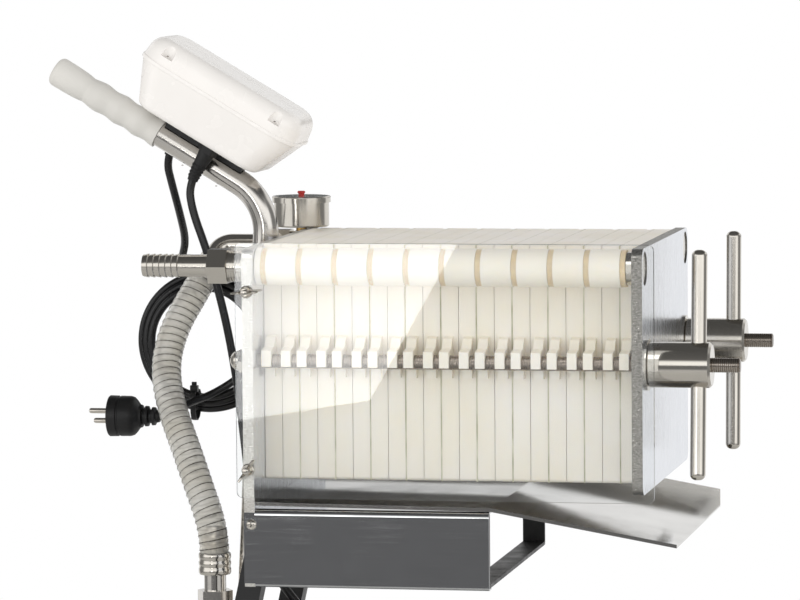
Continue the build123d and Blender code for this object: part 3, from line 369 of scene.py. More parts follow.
def moulded(name, colour, low, high, grain_mm, depth_mm, tone=0.94, **sockets):
    """Moulded plastic or rubber: a fine spark grain and faint changes of tone."""
    material, tree, shader, place = begin_finish(name, colour, low, **sockets)
    link(
        tree, shader,
        Roughness=patches(tree, place, 18, low, high),
        Base_Color=two_tone(tree, patches(tree, place, 45, 0, 1), colour, shade_of(colour, tone)),
    )
    relief(tree, shader, patches(tree, place, grain_mm, 0, 1), depth_mm)
    return material


def clear_hose_plastic():
    # Clear plasticised PVC: slightly milky and warm, glossy outside
    colour = colour_of("FAF9F5")
    material, tree, shader, place = begin_finish(
        "Clear flexible PVC", colour, 0.06, Transmission_Weight=0.68, IOR=1.25
    )
    link(
        tree, shader,
        Roughness=patches(tree, place, 12, 0.08, 0.22),
        Base_Color=two_tone(tree, patches(tree, place, 30, 0, 1), colour, colour_of("ECE9E0")),
    )
    return material


def pressed_sheet():
    # Pressed cellulose filter sheet: a matt cream edge, stained olive by juice
    material, tree, shader, place = begin_finish("Pressed cellulose sheet", colour_of("DCD8C2"), 0.9)
    stain = patches(tree, place, 22, 0, 1, (0.2, 1, 1))
    link(tree, shader, Base_Color=two_tone(tree, stain, colour_of("E4E0CC"), colour_of("A9A688")))
    relief(tree, shader, patches(tree, place, 1.2, 0, 1), 0.1)
    return material


def make_finishes(colours):
    """Every finish by the short name that the pieces use."""
    return {
        "plates": polypropylene(colours.plates),
        "rings": silicone(colours.rings),
        # Polished tube and bar: mirror-like with faint rings of the polishing belt
        "tube": stainless(
            "Polished stainless tube", colour_of("D8D4CE"), 0.12, 0.2, 1.2, (0.06, 0.06, 1), 0.001
        ),
        # Turned on a lathe and polished: soft rings round X
        "turned": stainless(
            "Turned stainless bar", colour_of("D6D1C8"), 0.12, 0.19, 0.9, (1, 0.05, 0.05), 0.001
        ),
        # Cold rolled sheet, bright: nearly a mirror, with long faint scratches
        "bright_sheet": stainless(
            "Bright rolled stainless sheet", colour_of("C9CACB"), 0.05, 0.12, 1.4, (0.02, 1, 1),
            0.0006, 40
        ),
        # Hard drawn spring wire, dull; its dark colour is painted shade, for the dark lines that it
        # shows inside the hose's wall
        "wire": stainless("Spring steel wire with painted shade", colour_of("5E5A54"), 0.4, 0.5, 1.0, (1, 1, 1), 0.001),
        # Brushed sheet: straight grain along X
        "brushed_sheet": stainless(
            "Brushed stainless sheet", colour_of("CDCECE"), 0.2, 0.34, 1.0, (0.02, 1, 1), 0.006
        ),
        "cut_plate": cut_plate_steel(
            "Torch cut stainless plate", colour_of("A9A6A0"), colour_of("75726D")
        ),
        "head_steel": cut_plate_steel(
            "Sawn stainless plate", colour_of("E4E2DD"), colour_of("C4C1BA")
        ),
        # Drawn bar, left as it comes: duller than the turned pieces; its dark brown colour is painted
        # shade and painted dark reflection
        "rod": stainless(
            "Drawn stainless rod with painted shade", colour_of("8F857B"), 0.24, 0.34, 0.9, (1, 0.05, 0.05), 0.002
        ),
        # Rolled sheet of the tray, a mirror softened by wiping
        "tray": stainless(
            "Wiped stainless sheet", colour_of("CFCDC9"), 0.07, 0.14, 1.4, (0.02, 1, 1), 0.0008, 50
        ),
        "acrylic": clear_acrylic(),
        "black_coat": powder_coat(),
        # Soft PVC sleeve: matt, a little marked by hands
        "grip": moulded("Grey PVC sleeve", colours.grip, 0.5, 0.65, 1.6, 0.04, 0.9),
        # Injection moulded ABS: an even satin with a fine spark grain
        "box": moulded("Moulded off-white ABS", colours.box, 0.2, 0.3, 1.2, 0.003, 0.97),
        # Extruded PVC sheath: black with a soft gloss
        "lead": moulded("Black PVC sheath", colours.leads, 0.2, 0.3, 2.0, 0.01, 0.8),
        # Moulded nylon and PVC: matt black
        "black_plastic": moulded("Moulded black nylon", colour_of("161617"), 0.4, 0.55, 1.0, 0.03, 0.8),
        # Plain brass, turned
        "brass": stainless("Turned brass", colour_of("C9A462"), 0.2, 0.36, 0.9, (1, 1, 0.05)),
        # Nickel plated brass, a warm bright metal
        "nickel": stainless("Nickel plated brass", colour_of("D8D2C8"), 0.12, 0.22, 1.0, (0.2, 1, 1)),
        # Painted dial: flat white with a hint of grain
        "dial": moulded("White dial paint", colour_of("F3F2EC"), 0.5, 0.6, 0.8, 0.005, 0.98),
        "red": moulded("Red dial paint", colour_of("C8302A"), 0.4, 0.5, 0.8, 0.005, 0.9),
        "black_ink": moulded("Black dial paint", colour_of("1A1A1A"), 0.5, 0.6, 0.8, 0.005, 0.9),
        # Vulcanised rubber: dull black, greyed where it rubs
        "rubber": moulded("Vulcanised black rubber", colour_of("1D1D1E"), 0.62, 0.8, 1.4, 0.06, 1.35),
        # Sprayed enamel on cast aluminium
        "motor": moulded("Grey sprayed enamel", colours.motor, 0.32, 0.46, 1.8, 0.04, 0.92),
        "hose": clear_hose_plastic(),
        "sheet": pressed_sheet(),
    }


FINISHES = {}

NODE_FINISHES = {
    "plates": ("near_ear_plates", "far_ear_plates"),
    "rings": ("port_gaskets",),
    "tube": ("handle_tube", "pump_riser"),
    "turned": (
        "port_plugs", "cap_nuts", "clamp_washers", "near_tee_nut", "far_tee_nut",
        "outlet_spigot", "inlet_elbow", "gauge_case", "wheel_axle", "pump_body", "guard_wing_nuts",
        "hose_clamp",
    ),
    "bright_sheet": ("front_apron",),
    "brushed_sheet": ("base_rails", "front_cross_tube", "base_plate"),
    "cut_plate": ("end_plate",),
    "head_steel": ("head_plate",),
    "rod": ("tie_rods",),
    "tray": ("drip_tray",),
    "acrylic": ("splash_guard",),
    "black_coat": ("tray_strap", "leg_frame"),
    "grip": ("handle_grip",),
    "box": ("switch_box_base", "switch_box_lid"),
    "lead": ("mains_lead", "motor_lead", "plug_lead", "mains_coil"),
    "black_plastic": (
        "box_saddle", "cable_glands", "mains_plug", "motor_terminal_box", "wheel_hubs",
    ),
    "brass": ("gauge_stem",),
    "dial": ("gauge_dial",),
    "rubber": ("wheel_tyres", "rubber_feet"),
    "motor": ("pump_motor",),
    "hose": ("delivery_hose",),
}


def dress(piece, finish):
    """Gives every slot of a piece the same finish."""
    material = FINISHES[finish]
    if not piece.material_slots:
        piece.data.materials.append(material)
    for place in piece.material_slots:
        place.material = material


def keep(name, data, finish, body=FRAME_BODY):
    """Adds a finished piece to the scene, in its finish and on its body."""
    piece = bpy.data.objects.new(name, data)
    bpy.context.scene.collection.objects.link(piece)
    dress(piece, finish)
    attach(piece, body)
    return piece


def as_mesh(name, form, sharp=32):
    """Closes a form as a mesh, smooth but for edges sharper than an angle in degrees."""
    bmesh.ops.recalc_face_normals(form, faces=form.faces)
    mesh = bpy.data.meshes.new(name)
    form.to_mesh(mesh)
    form.free()
    mesh.shade_smooth()
    mesh.set_sharp_from_angle(angle=radians(sharp))
    return mesh


def add_ring(form, centre, side, other, radius, count):
    """Vertices of a circle about a centre."""
    angles = [2 * pi * i / count for i in range(count)]
    return [form.verts.new(centre + (side * cos(a) + other * sin(a)) * radius) for a in angles]


def add_band(form, low, high):
    """Faces between two closed rings of vertices."""
    for i in range(len(low)):
        j = (i + 1) % len(low)
        form.faces.new((low[i], low[j], high[j], high[i]))


def turn_profile(form, profile, start, way, steps=40):
    """Adds a turned shell; the profile lists (distance along way, radius) in millimetres."""
    way = way.normalized()
    side = way.orthogonal().normalized()
    other = way.cross(side)
    rings = []
    for distance, radius in profile:
        centre = start + way * (distance / 1000)
        if radius == 0:
            rings.append([form.verts.new(centre)])
            continue
        rings.append(add_ring(form, centre, side, other, radius / 1000, steps))
    for low, high in zip(rings, rings[1:]):
        if len(low) == len(high):
            add_band(form, low, high)
            continue
        for i in range(steps):
            j = (i + 1) % steps
            if len(low) == 1:
                form.faces.new((low[0], high[j], high[i]))
            else:
                form.faces.new((low[i], low[j], high[0]))


def add_block(form, centre, size, turn=None):
    """Adds a closed block of a size about a centre, turned by a matrix."""
    place = Matrix.Translation(centre) @ (turn.to_4x4() if turn else Matrix())
    bmesh.ops.create_cube(form, size=1.0, matrix=place @ Matrix.Diagonal((*size, 1)))


def spline_line(route, steps=12):
    """Points of the smooth line that a cord follows through its route."""
    curve = cord_curve("route line", route, 0.0)
    curve.splines[0].resolution_u = steps
    holder = bpy.data.objects.new("route line", curve)
    mesh = bpy.data.meshes.new_from_object(holder)
    line = [vertex.co.copy() for vertex in mesh.vertices]
    bpy.data.objects.remove(holder)
    bpy.data.meshes.remove(mesh)
    return line


def cord_curve(name, route, radius):
    """A smooth NURBS line through a route, with a round section where it has a radius."""
    curve = bpy.data.curves.new(name, "CURVE")
    curve.dimensions = "3D"
    curve.bevel_depth = radius
    curve.bevel_resolution = 5
    curve.use_fill_caps = True
    spline = curve.splines.new("NURBS")
    spline.points.add(len(route) - 1)
    for point, place in zip(spline.points, route):
        point.co = (*place, 1)
    spline.order_u = 3
    spline.use_endpoint_u = True
    spline.resolution_u = 10
    return curve


def even_steps(line, step):
    """Even steps along a line: distance, point and two directions square to it that don't twist."""
    lengths = [0.0]
    for before, here in zip(line, line[1:]):
        lengths.append(lengths[-1] + (here - before).length)
    count = max(2, round(lengths[-1] / step))
    places = []
    index = 0
    for number in range(count + 1):
        distance = lengths[-1] * number / count
        while index < len(line) - 2 and lengths[index + 1] < distance:
            index += 1
        run = lengths[index + 1] - lengths[index]
        places.append((distance, line[index].lerp(line[index + 1], (distance - lengths[index]) / run)))
    side = None
    steps = []
    for number, (distance, point) in enumerate(places):
        ahead = places[min(number + 1, count)][1] - places[max(number - 1, 0)][1]
        ahead.normalize()
        side = ahead.orthogonal() if side is None else side - ahead * side.dot(ahead)
        side.normalize()
        steps.append((distance, point, side.copy(), ahead.cross(side)))
    return steps


def sweep_wall(form, steps, radius_at, bore=0.0, around=28):
    """Adds a round wall along even steps, hollow where it has a bore."""
    shells = [[add_ring(form, p, s, o, radius_at(d), around) for d, p, s, o in steps]]
    if bore:
        shells.append([add_ring(form, p, s, o, bore, around) for d, p, s, o in steps])
    for shell in shells:
        for low, high in zip(shell, shell[1:]):
            add_band(form, low, high)
    for end in (0, -1):
        if bore:
            add_band(form, shells[0][end], shells[1][end])
        else:
            form.faces.new(shells[0][end])


# Geometry Nodes for what repeats


def node_tree(name, inputs):
    """An empty Geometry Nodes tree with named inputs and a mesh in and out."""
    tree = bpy.data.node_groups.new(name, "GeometryNodeTree")
    tree.interface.new_socket("Geometry", in_out="INPUT", socket_type="NodeSocketGeometry")
    tree.interface.new_socket("Geometry", in_out="OUTPUT", socket_type="NodeSocketGeometry")
    for label, kind, default in inputs:
        item = tree.interface.new_socket(label, in_out="INPUT", socket_type="NodeSocket" + kind)
        if default is not None:
            item.default_value = default
    return tree, add(tree, "NodeGroupInput").outputs


def close_tree(tree, geometry, material):
    """Ends a tree in real geometry with its material."""
    real = add(tree, "GeometryNodeRealizeInstances", {0: geometry})
    painted = add(tree, "GeometryNodeSetMaterial", {"Geometry": real.outputs[0], "Material": material})
    smooth = add(
        tree, "GeometryNodeSetShadeSmooth", {"Geometry": painted.outputs[0], "Shade Smooth": False}
    )
    add(tree, "NodeGroupOutput", {0: smooth.outputs[0]})


def moved(tree, geometry, **values):
    """Geometry shifted, turned or scaled."""
    return add(tree, "GeometryNodeTransform", {"Geometry": geometry, **values}).outputs[0]


def copies(tree, points, instance, **values):
    """One copy of a form on each point."""
    return add(
        tree, "GeometryNodeInstanceOnPoints", {"Points": points, "Instance": instance, **values}
    ).outputs[0]


def rows(tree, given, count, form):
    """A row of a form at the pitch along X from each of the carrier's points."""
    step = add(tree, "ShaderNodeCombineXYZ", {0: given["Pitch"]})
    line = add(tree, "GeometryNodeMeshLine", {"Count": count, "Offset": step.outputs[0]})
    real = add(tree, "GeometryNodeRealizeInstances", {0: copies(tree, line.outputs[0], form)})
    return copies(tree, given["Geometry"], real.outputs[0])


def thread_tree():
    """Rings of a thread at a pitch along X from the carrier's points."""
    tree, given = node_tree("Thread rings", (
        ("Radius", "Float", 0.006), ("Pitch", "Float", 0.00175), ("Rings", "Int", 10),
        ("Crest", "Float", 0.0005), ("Material", "Material", None),
    ))
    circle = add(
        tree, "GeometryNodeCurvePrimitiveCircle", {"Resolution": 40, "Radius": given["Radius"]}
    )
    # A ridge fills most of a pitch and is as high as the crest
    wide = maths(tree, given["Pitch"], 0.42)
    crest = add(tree, "GeometryNodeCurvePrimitiveCircle", {"Resolution": 6, "Radius": wide})
    flat = maths(tree, given["Crest"], wide, "DIVIDE")
    squeeze = add(tree, "ShaderNodeCombineXYZ", {0: flat, 1: 1.0, 2: 1.0})
    section = moved(tree, crest.outputs[0], Scale=squeeze.outputs[0])
    ring = add(tree, "GeometryNodeCurveToMesh", {"Curve": circle.outputs[0], "Profile Curve": section})
    upright = moved(tree, ring.outputs[0], Rotation=(0, pi / 2, 0))
    close_tree(tree, rows(tree, given, given["Rings"], upright), given["Material"])
    return tree


def screw_tree():
    """Pan head screws with a cross recess on the carrier's points, along its facing attribute."""
    tree, given = node_tree("Pan head screws", (
        ("Head Diameter", "Float", 0.007), ("Material", "Material", None),
    ))
    wide = given["Head Diameter"]
    ball = add(
        tree, "GeometryNodeMeshUVSphere", {"Segments": 20, "Rings": 12, "Radius": maths(tree, wide, 0.5)}
    )
    head = moved(tree, ball.outputs[0], Scale=(1, 1, 0.55))
    size = add(tree, "ShaderNodeCombineXYZ", {0: maths(tree, wide, 0.62), 1: 0.0011, 2: 0.002})
    slot = add(tree, "GeometryNodeMeshCube", {"Size": size.outputs[0]}).outputs[0]
    lift = add(tree, "ShaderNodeCombineXYZ", {2: maths(tree, wide, 0.3)}).outputs[0]
    for turn in (0, pi / 2):
        cutter = moved(tree, slot, Translation=lift, Rotation=(0, 0, turn))
        head = add(
            tree, "GeometryNodeMeshBoolean", {"Mesh 1": head, "Mesh 2": cutter}, operation="DIFFERENCE"
        ).outputs[0]
    facing = add(tree, "GeometryNodeInputNamedAttribute", {"Name": "facing"}, data_type="FLOAT_VECTOR")
    turn = add(tree, "FunctionNodeAlignRotationToVector", {"Vector": facing.outputs[0]}, axis="Z")
    placed = copies(tree, given["Geometry"], head, Rotation=turn.outputs[0])
    close_tree(tree, placed, given["Material"])
    return tree


def sheet_tree():
    """Edges of filter sheets in a row along X from the carrier's points."""
    tree, given = node_tree("Filter sheets", (
        ("Pitch", "Float", 0.0302), ("Sheets", "Int", 10), ("Size", "Vector", (0.001, 0.2, 0.2)),
        ("Material", "Material", None),
    ))
    block = add(tree, "GeometryNodeMeshCube", {"Size": given["Size"]})
    close_tree(tree, rows(tree, given, given["Sheets"], block.outputs[0]), given["Material"])
    return tree


def grow(name, tree, points, finish, slot, body=FRAME_BODY, facing=None, **sizes):
    """Runs a tree on points and keeps the result as one plain mesh."""
    carrier = bpy.data.meshes.new(name)
    carrier.from_pydata([tuple(point) for point in points], [], [])
    if facing:
        attribute = carrier.attributes.new("facing", "FLOAT_VECTOR", "POINT")
        attribute.data.foreach_set("vector", [value for way in facing for value in way])
    holder = bpy.data.objects.new(name, carrier)
    bpy.context.scene.collection.objects.link(holder)
    modifier = holder.modifiers.new(tree.name, "NODES")
    modifier.node_group = tree
    values = {key.replace("_", " "): value for key, value in sizes.items()}
    values["Material"] = FINISHES[finish]
    for item in tree.interface.items_tree:
        if item.in_out == "INPUT" and item.name in values:
            modifier[item.identifier] = values[item.name]
    evaluated = holder.evaluated_get(bpy.context.evaluated_depsgraph_get())
    mesh = bpy.data.meshes.new_from_object(evaluated)
    holder.modifiers.remove(modifier)
    bpy.data.objects.remove(holder)
    bpy.data.meshes.remove(carrier)
    if not mesh.polygons:
        raise RuntimeError(f"{name} came out empty")
    mesh.shade_smooth()
    mesh.set_sharp_from_angle(angle=radians(40))
    return keep(name, mesh, finish, body)


# One operator for each piece or group of like pieces


class PRESS_OT_stage(bpy.types.Operator):
    """Makes the camera, the pale floor, the soft lamps and the world"""

    bl_idname = "press.stage"
    bl_label = "Stage"

    def execute(self, context):
        scene = context.scene
        scene.view_settings.view_transform = "Standard"
        self.make_camera(scene)
        self.make_world(scene)
        self.make_floor(scene)
        self.make_lamps(scene)
        return {"FINISHED"}

    def make_camera(self, scene):
        data = bpy.data.cameras.new("camera")
        data.lens = 222.03
        data.sensor_width = 36
        data.clip_start = 0.1
        data.clip_end = 60
        camera = bpy.data.objects.new("camera", data)
        scene.collection.objects.link(camera)
        azimuth, elevation, roll = radians(10.91), radians(4.58), radians(-0.45)
        back = Vector((sin(azimuth) * cos(elevation), -cos(azimuth) * cos(elevation), sin(elevation)))
        right = Vector((cos(azimuth), sin(azimuth), 0))
        up = back.cross(right)
        across = right * cos(roll) + up * sin(roll)
        upright = up * cos(roll) - right * sin(roll)
        turn = Matrix((across, upright, back)).transposed().to_4x4()
        camera.matrix_world = Matrix.Translation((0.7977, -4.139, 0.920)) @ turn
        scene.camera = camera

    def make_world(self, scene):
        world = bpy.data.worlds.new("pale studio")
        scene.world = world
        world.use_nodes = True
        tree = world.node_tree
        tree.nodes.clear()
        rays = add(tree, "ShaderNodeLightPath").outputs
        way = add(tree, "ShaderNodeTexCoord").outputs["Generated"]
        x, y, z = add(tree, "ShaderNodeSeparateXYZ", {0: way}).outputs

        def step(value, low, high, start=0.0, end=1.0):
            return add(
                tree, "ShaderNodeMapRange",
                {"Value": value, "From Min": low, "From Max": high, "To Min": start, "To Max": end},
                interpolation_type="SMOOTHSTEP",
            ).outputs[0]

        def times(first, second):
            return maths(tree, first, second)

        # Metal mirrors a studio: beige floor, a bright wall at eye level, a dark ceiling
        height = add(tree, "ShaderNodeMapRange", {"Value": z, "From Min": -1.0, "From Max": 1.0})
        drapes = add(tree, "ShaderNodeValToRGB", {0: height.outputs[0]})
        stops = (
            (0.0, 0.3), (0.06, 0.5), (0.3, 0.62), (0.42, 0.4), (0.485, 1.35), (0.655, 1.35),
            (0.74, 0.14), (1.0, 0.10),
        )
        ramp = drapes.color_ramp.elements
        while len(ramp) < len(stops):
            ramp.new(0.5)
        for element, (place, level) in zip(ramp, stops):
            element.position = place
            element.color = (level, level, level, 1)
        side_walls = step(maths(tree, x, operation="ABSOLUTE"), 0.75, 0.9, 0.95, 0.25)
        below_ceiling = step(z, 0.62, 0.45, 0.1, 1.0)
        # Dark shelf low behind the press
        shelf = times(times(step(z, 0.0, 0.03), step(z, 0.125, 0.105)), step(y, 0.5, 0.7))
        open_walls = times(times(side_walls, below_ceiling), step(shelf, 0.0, 1.0, 1.0, 0.05))
        studio = two_tone(tree, step(y, -0.1, -0.45), open_walls, drapes.outputs[0])
        # A dark doorway opposite the press, up to eye level
        bearing = maths(tree, x, times(y, -1.0), "ARCTAN2")
        off_door = maths(tree, maths(tree, bearing, radians(3.5), "SUBTRACT"), operation="ABSOLUTE")
        tall = times(step(z, -0.4, -0.24), step(z, 0.045, 0.02))
        beside = step(off_door, radians(33), radians(28))
        mirrored = two_tone(tree, times(beside, tall), studio, colour_of("747475"))
        # Light that a plate gets by way of the tray counts for little, so its underside stays dark
        depth = maths(tree, rays["Diffuse Depth"], 1.0, "MINIMUM")
        mirrored = two_tone(tree, times(depth, 0.85), mirrored, colour_of("000000"))
        through = maths(tree, rays["Is Camera Ray"], rays["Is Transmission Ray"], "MAXIMUM")
        level = two_tone(tree, through, mirrored, (1, 1, 1, 1))
        shown = add(tree, "ShaderNodeBackground", {"Color": level, "Strength": 1.0})
        # The room lights the press from the front more than from above
        lit = times(step(z, 0.1, 0.85, 1.0, 0.45), step(y, 0.4, -0.7, 0.9, 1.3))
        light = add(tree, "ShaderNodeBackground", {"Color": colour_of("FEFDFB"), "Strength": lit})
        seen = maths(tree, through, rays["Is Glossy Ray"], "MAXIMUM")
        both = add(tree, "ShaderNodeMixShader", {0: seen, 1: light.outputs[0], 2: shown.outputs[0]})
        add(tree, "ShaderNodeOutputWorld", {"Surface": both.outputs[0]})

    def make_floor(self, scene):
        form = bmesh.new()
        bmesh.ops.create_circle(form, cap_ends=True, radius=1.7, segments=96)
        mesh = bpy.data.meshes.new("floor")
        form.to_mesh(mesh)
        form.free()
        floor = bpy.data.objects.new("floor", mesh)
        scene.collection.objects.link(floor)
        # Matt painted floor that fades out into the white of the room
        colour = scene.press_colours.floor
        material, tree, shader, place = begin_finish("Matt pale floor paint", colour, 0.8)
        link(tree, shader, Roughness=patches(tree, place, 60, 0.75, 0.9))
        distance = add(tree, "ShaderNodeVectorMath", {0: place}, operation="LENGTH")
        fade = add(
            tree, "ShaderNodeMapRange",
            {"Value": distance.outputs["Value"], "From Min": 0.75, "From Max": 1.5},
            interpolation_type="SMOOTHSTEP",
        )
        let_through(tree, fade.outputs[0], shader)
        mesh.materials.append(material)

    def make_lamps(self, scene):
        lamps = (
            ("softbox above", (-0.7, -1.9, 2.5), (1.7, 1.0), 1.6, (0, 0, 0.5)),
            ("softbox right", (2.3, -0.9, 1.1), (0.5, 1.4), 1.1, (0.05, 0, 0.5)),
            ("softbox back", (0.4, 2.0, 1.9), (1.4, 0.8), 1.4, (0, 0, 0.4)),
        )
        for name, place, size, radiance, aim in lamps:
            data = bpy.data.lights.new(name, "AREA")
            data.shape = "RECTANGLE"
            data.size, data.size_y = size
            data.energy = radiance * pi * size[0] * size[1]
            lamp = bpy.data.objects.new(name, data)
            scene.collection.objects.link(lamp)
            lamp.visible_glossy = False
            turn = (Vector(aim) - Vector(place)).to_track_quat("-Z", "Y").to_matrix()
            lamp.matrix_world = Matrix.Translation(place) @ turn.to_4x4()
        self.make_panel(scene)

    def make_panel(self, scene):
        """A lit panel at the left, seen only where the guard's sheet mirrors it."""
        mesh = bpy.data.meshes.new("lit_panel")
        corners = ((-0.466, 0.270), (-0.262, 0.627), (-0.760, 0.700), (-0.760, 0.222))
        mesh.from_pydata([(x, -2.5, z) for x, z in corners], [], [(0, 1, 2, 3)])
        panel = bpy.data.objects.new("lit_panel", mesh)
        scene.collection.objects.link(panel)
        material = bpy.data.materials.new("Lit cloth panel")
        material.use_nodes = True
        tree = material.node_tree
        tree.nodes.clear()
        glow = add(tree, "ShaderNodeEmission", {"Strength": 4.6})
        clear = add(tree, "ShaderNodeBsdfTransparent")
        rays = add(tree, "ShaderNodeLightPath").outputs
        both = add(
            tree, "ShaderNodeMixShader",
            {0: rays["Is Glossy Ray"], 1: clear.outputs[0], 2: glow.outputs[0]},
        )
        add(tree, "ShaderNodeOutputMaterial", {"Surface": both.outputs[0]})
        mesh.materials.append(material)


class PRESS_OT_finishes(bpy.types.Operator):
    """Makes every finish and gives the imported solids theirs"""

    bl_idname = "press.finishes"
    bl_label = "Finishes"

    def execute(self, context):
        FINISHES.update(make_finishes(context.scene.press_colours))
        for finish, names in NODE_FINISHES.items():
            for name in names:
                dress(NODES[name], finish)
        return {"FINISHED"}


class PRESS_OT_hose(bpy.types.Operator):
    """Makes the clear delivery hose and the steel spiral in its wall"""

    bl_idname = "press.hose"
    bl_label = "Delivery hose"

    def execute(self, context):
        sizes = context.scene.press_sizes
        radius = sizes.hose_diameter / 2
        line = spline_line(HOSE_ROUTE, 24)
        steps = even_steps(line, sizes.wire_pitch / 6)
        ripple = 0.0003

        def outside(distance):
            return radius - ripple + ripple * cos(2 * pi * distance / sizes.wire_pitch)

        form = bmesh.new()
        sweep_wall(form, steps, outside, sizes.hose_bore / 2, 32)
        hose = keep("clear_hose", as_mesh("clear_hose", form, 60), "hose")
        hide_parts("delivery_hose")
        wire = bpy.data.curves.new("hose_spiral", "CURVE")
        wire.dimensions = "3D"
        wire.bevel_depth = sizes.wire_diameter / 2
        wire.bevel_resolution = 2
        wire.use_fill_caps = True
        fine = even_steps(line, sizes.wire_pitch / 20)
        spline = wire.splines.new("POLY")
        spline.points.add(len(fine) - 1)
        middle = radius - 0.0003
        for point, (distance, centre, side, other) in zip(spline.points, fine):
            angle = 2 * pi * distance / sizes.wire_pitch
            point.co = (*(centre + (side * cos(angle) + other * sin(angle)) * middle), 1)
        spiral = keep("hose_spiral", wire, "wire")
        ferrule = self.make_ferrule()
        return {"FINISHED"}

    def make_ferrule(self):
        """Ridged ferrule over the hose's lower end, and the barbs of the tail inside it."""
        down = Vector((0, 0, -1))
        form = bmesh.new()
        turn_profile(form, (
            (0, 13.05), (0, 13.6), (1.5, 14.2), (4, 14.2), (5, 13.7),
            (6.8, 13.7), (7.8, 14.2), (9.8, 14.2), (10.8, 13.7), (12.6, 13.7),
            (13.6, 14.2), (17, 14.2), (18.5, 13.4), (19, 9.8), (18.6, 9.8),
            (18, 13.05), (0, 13.05),
        ), spot(-59.5, 0, -178.5), down, 56)
        ferrule = keep("hose_ferrule", as_mesh("hose_ferrule", form, 30), "turned")
        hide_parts("hose_clamp")
        form = bmesh.new()
        barbs = [(0, 7.2), (0, 8.6)]
        for index in range(4):
            barbs += [(4.4 + 4.8 * index, 10.1), (4.8 + 4.8 * index, 8.8)]
        barbs += [(20.5, 8.8), (20.5, 7.2), (0, 7.2)]
        turn_profile(form, barbs, spot(-59.5, 0, -155.5), down, 40)
        keep("riser_barbs", as_mesh("riser_barbs", form, 30), "turned")
        return ferrule


def coil_route(turns, per_turn=16):
    """The tied coil: turns that step forwards and inwards together."""
    centre = spot(-100, 0, -7.6)
    route = []
    short_of_last = 10
    for number in range(turns * per_turn - short_of_last):
        turn = number / per_turn
        angle = radians(75.5) - 2 * pi * turn
        radius = 0.0655 - 0.0056 * turn
        back = 0.1580 - 0.0044 * turn
        route.append(centre + Vector((radius * cos(angle), back, radius * sin(angle))))
    return route


class PRESS_OT_leads(bpy.types.Operator):
    """Makes the mains lead with its tied coil and the lead to the motor"""

    bl_idname = "press.leads"
    bl_label = "Leads"

    def execute(self, context):
        sizes = context.scene.press_sizes
        radius = sizes.lead_diameter / 2
        route = [*MAINS_START, *coil_route(sizes.coil_turns), *MAINS_END]
        curve = cord_curve("mains_cord", route, radius)
        mains = keep("mains_cord", curve, "lead")
        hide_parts("mains_lead", "mains_coil", "plug_lead")
        plug, pins = self.make_plug()
        boot = self.make_boot("mains_boot", MAINS_START, radius)
        tie = self.make_tie()
        curve = cord_curve("motor_cord", MOTOR_LEAD_ROUTE, radius)
        motor = keep("motor_cord", curve, "lead")
        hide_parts("motor_lead")
        boots = [
            self.make_boot("motor_boot", MOTOR_LEAD_ROUTE, radius),
            self.make_boot("terminal_boot", MOTOR_LEAD_ROUTE[::-1], radius),
        ]
        return {"FINISHED"}

    def make_boot(self, name, route, radius):
        """Ribbed end of a gland, tapered along the first 14 mm of a lead."""
        length = 0.014
        steps = [step for step in even_steps(spline_line(route, 16), 0.0005) if step[0] <= length]
        form = bmesh.new()

        def outside(distance):
            rib = 0.0005 if distance < 0.011 and (distance / 0.003) % 1 < 0.55 else 0.0
            return 0.0058 - 0.0013 * distance / length + rib

        sweep_wall(form, steps, outside, radius + 0.00005, 28)
        return keep(name, as_mesh(name, form, 40), "black_plastic")

    def make_tie(self):
        """Nylon cable tie round the bottom of the coil, with its head on top."""
        loop = [
            (138.2, -55.5), (140.5, -52.8), (148, -51.9), (156, -52.8), (159.3, -56), (160.2, -62),
            (158.6, -70), (154, -75.5), (147, -78), (140.5, -76.6), (137.6, -71), (137.2, -62),
        ]
        form = bmesh.new()
        rings = []
        middle = Vector((0, 148.5, -65))
        corners = ((-2.3, 0.0), (2.3, 0.0), (2.3, 1.1), (-2.3, 1.1))
        for side, rise in loop:
            away = (Vector((0, side, rise)) - middle).normalized()
            rings.append([
                form.verts.new(spot(-110 + x, side + away.y * lift, rise + away.z * lift))
                for x, lift in corners
            ])
        for low, high in zip(rings, rings[1:] + rings[:1]):
            add_band(form, low, high)
        add_block(form, spot(-110, 143, -50.2), (0.0068, 0.0052, 0.0056))
        add_block(form, spot(-110, 143, -46.4), (0.0044, 0.0012, 0.0044))
        return keep("cable_tie", as_mesh("cable_tie", form, 50), "black_plastic")

    def make_plug(self):
        way = Vector((-1, 0, 0))
        start = MAINS_END[-1]
        form = bmesh.new()
        turn_profile(form, (
            (0, 0), (0, 5.2), (3, 5.8), (4, 8), (6.6, 8.2), (7.4, 6.2),
            (9.2, 6.2), (10.2, 9), (12.8, 9.2), (13.6, 7.2), (15, 7.2),
            (15.8, 10), (17.8, 10.6), (21.2, 15), (23.2, 17), (26.2, 17.9),
            (35, 18), (35.6, 17.2), (36.8, 17.2), (37.4, 18.1), (44.8, 18.3),
            (45.6, 17.6), (45.7, 0),
        ), start, way, 48)
        plug = keep("plug_body", as_mesh("plug_body", form, 30), "black_plastic")
        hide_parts("mains_plug")
        form = bmesh.new()
        for side in (-1, 1):
            foot = start + way * 0.044 + Vector((0, 0.008, -0.0052)) * side
            turn_profile(form, (
                (0, 0), (0, 2.4), (16.5, 2.4), (18, 1.9), (18.6, 0.8),
                (18.6, 0),
            ), foot, way, 24)
        pins = keep("plug_pins", as_mesh("plug_pins", form), "nickel")
        return plug, pins


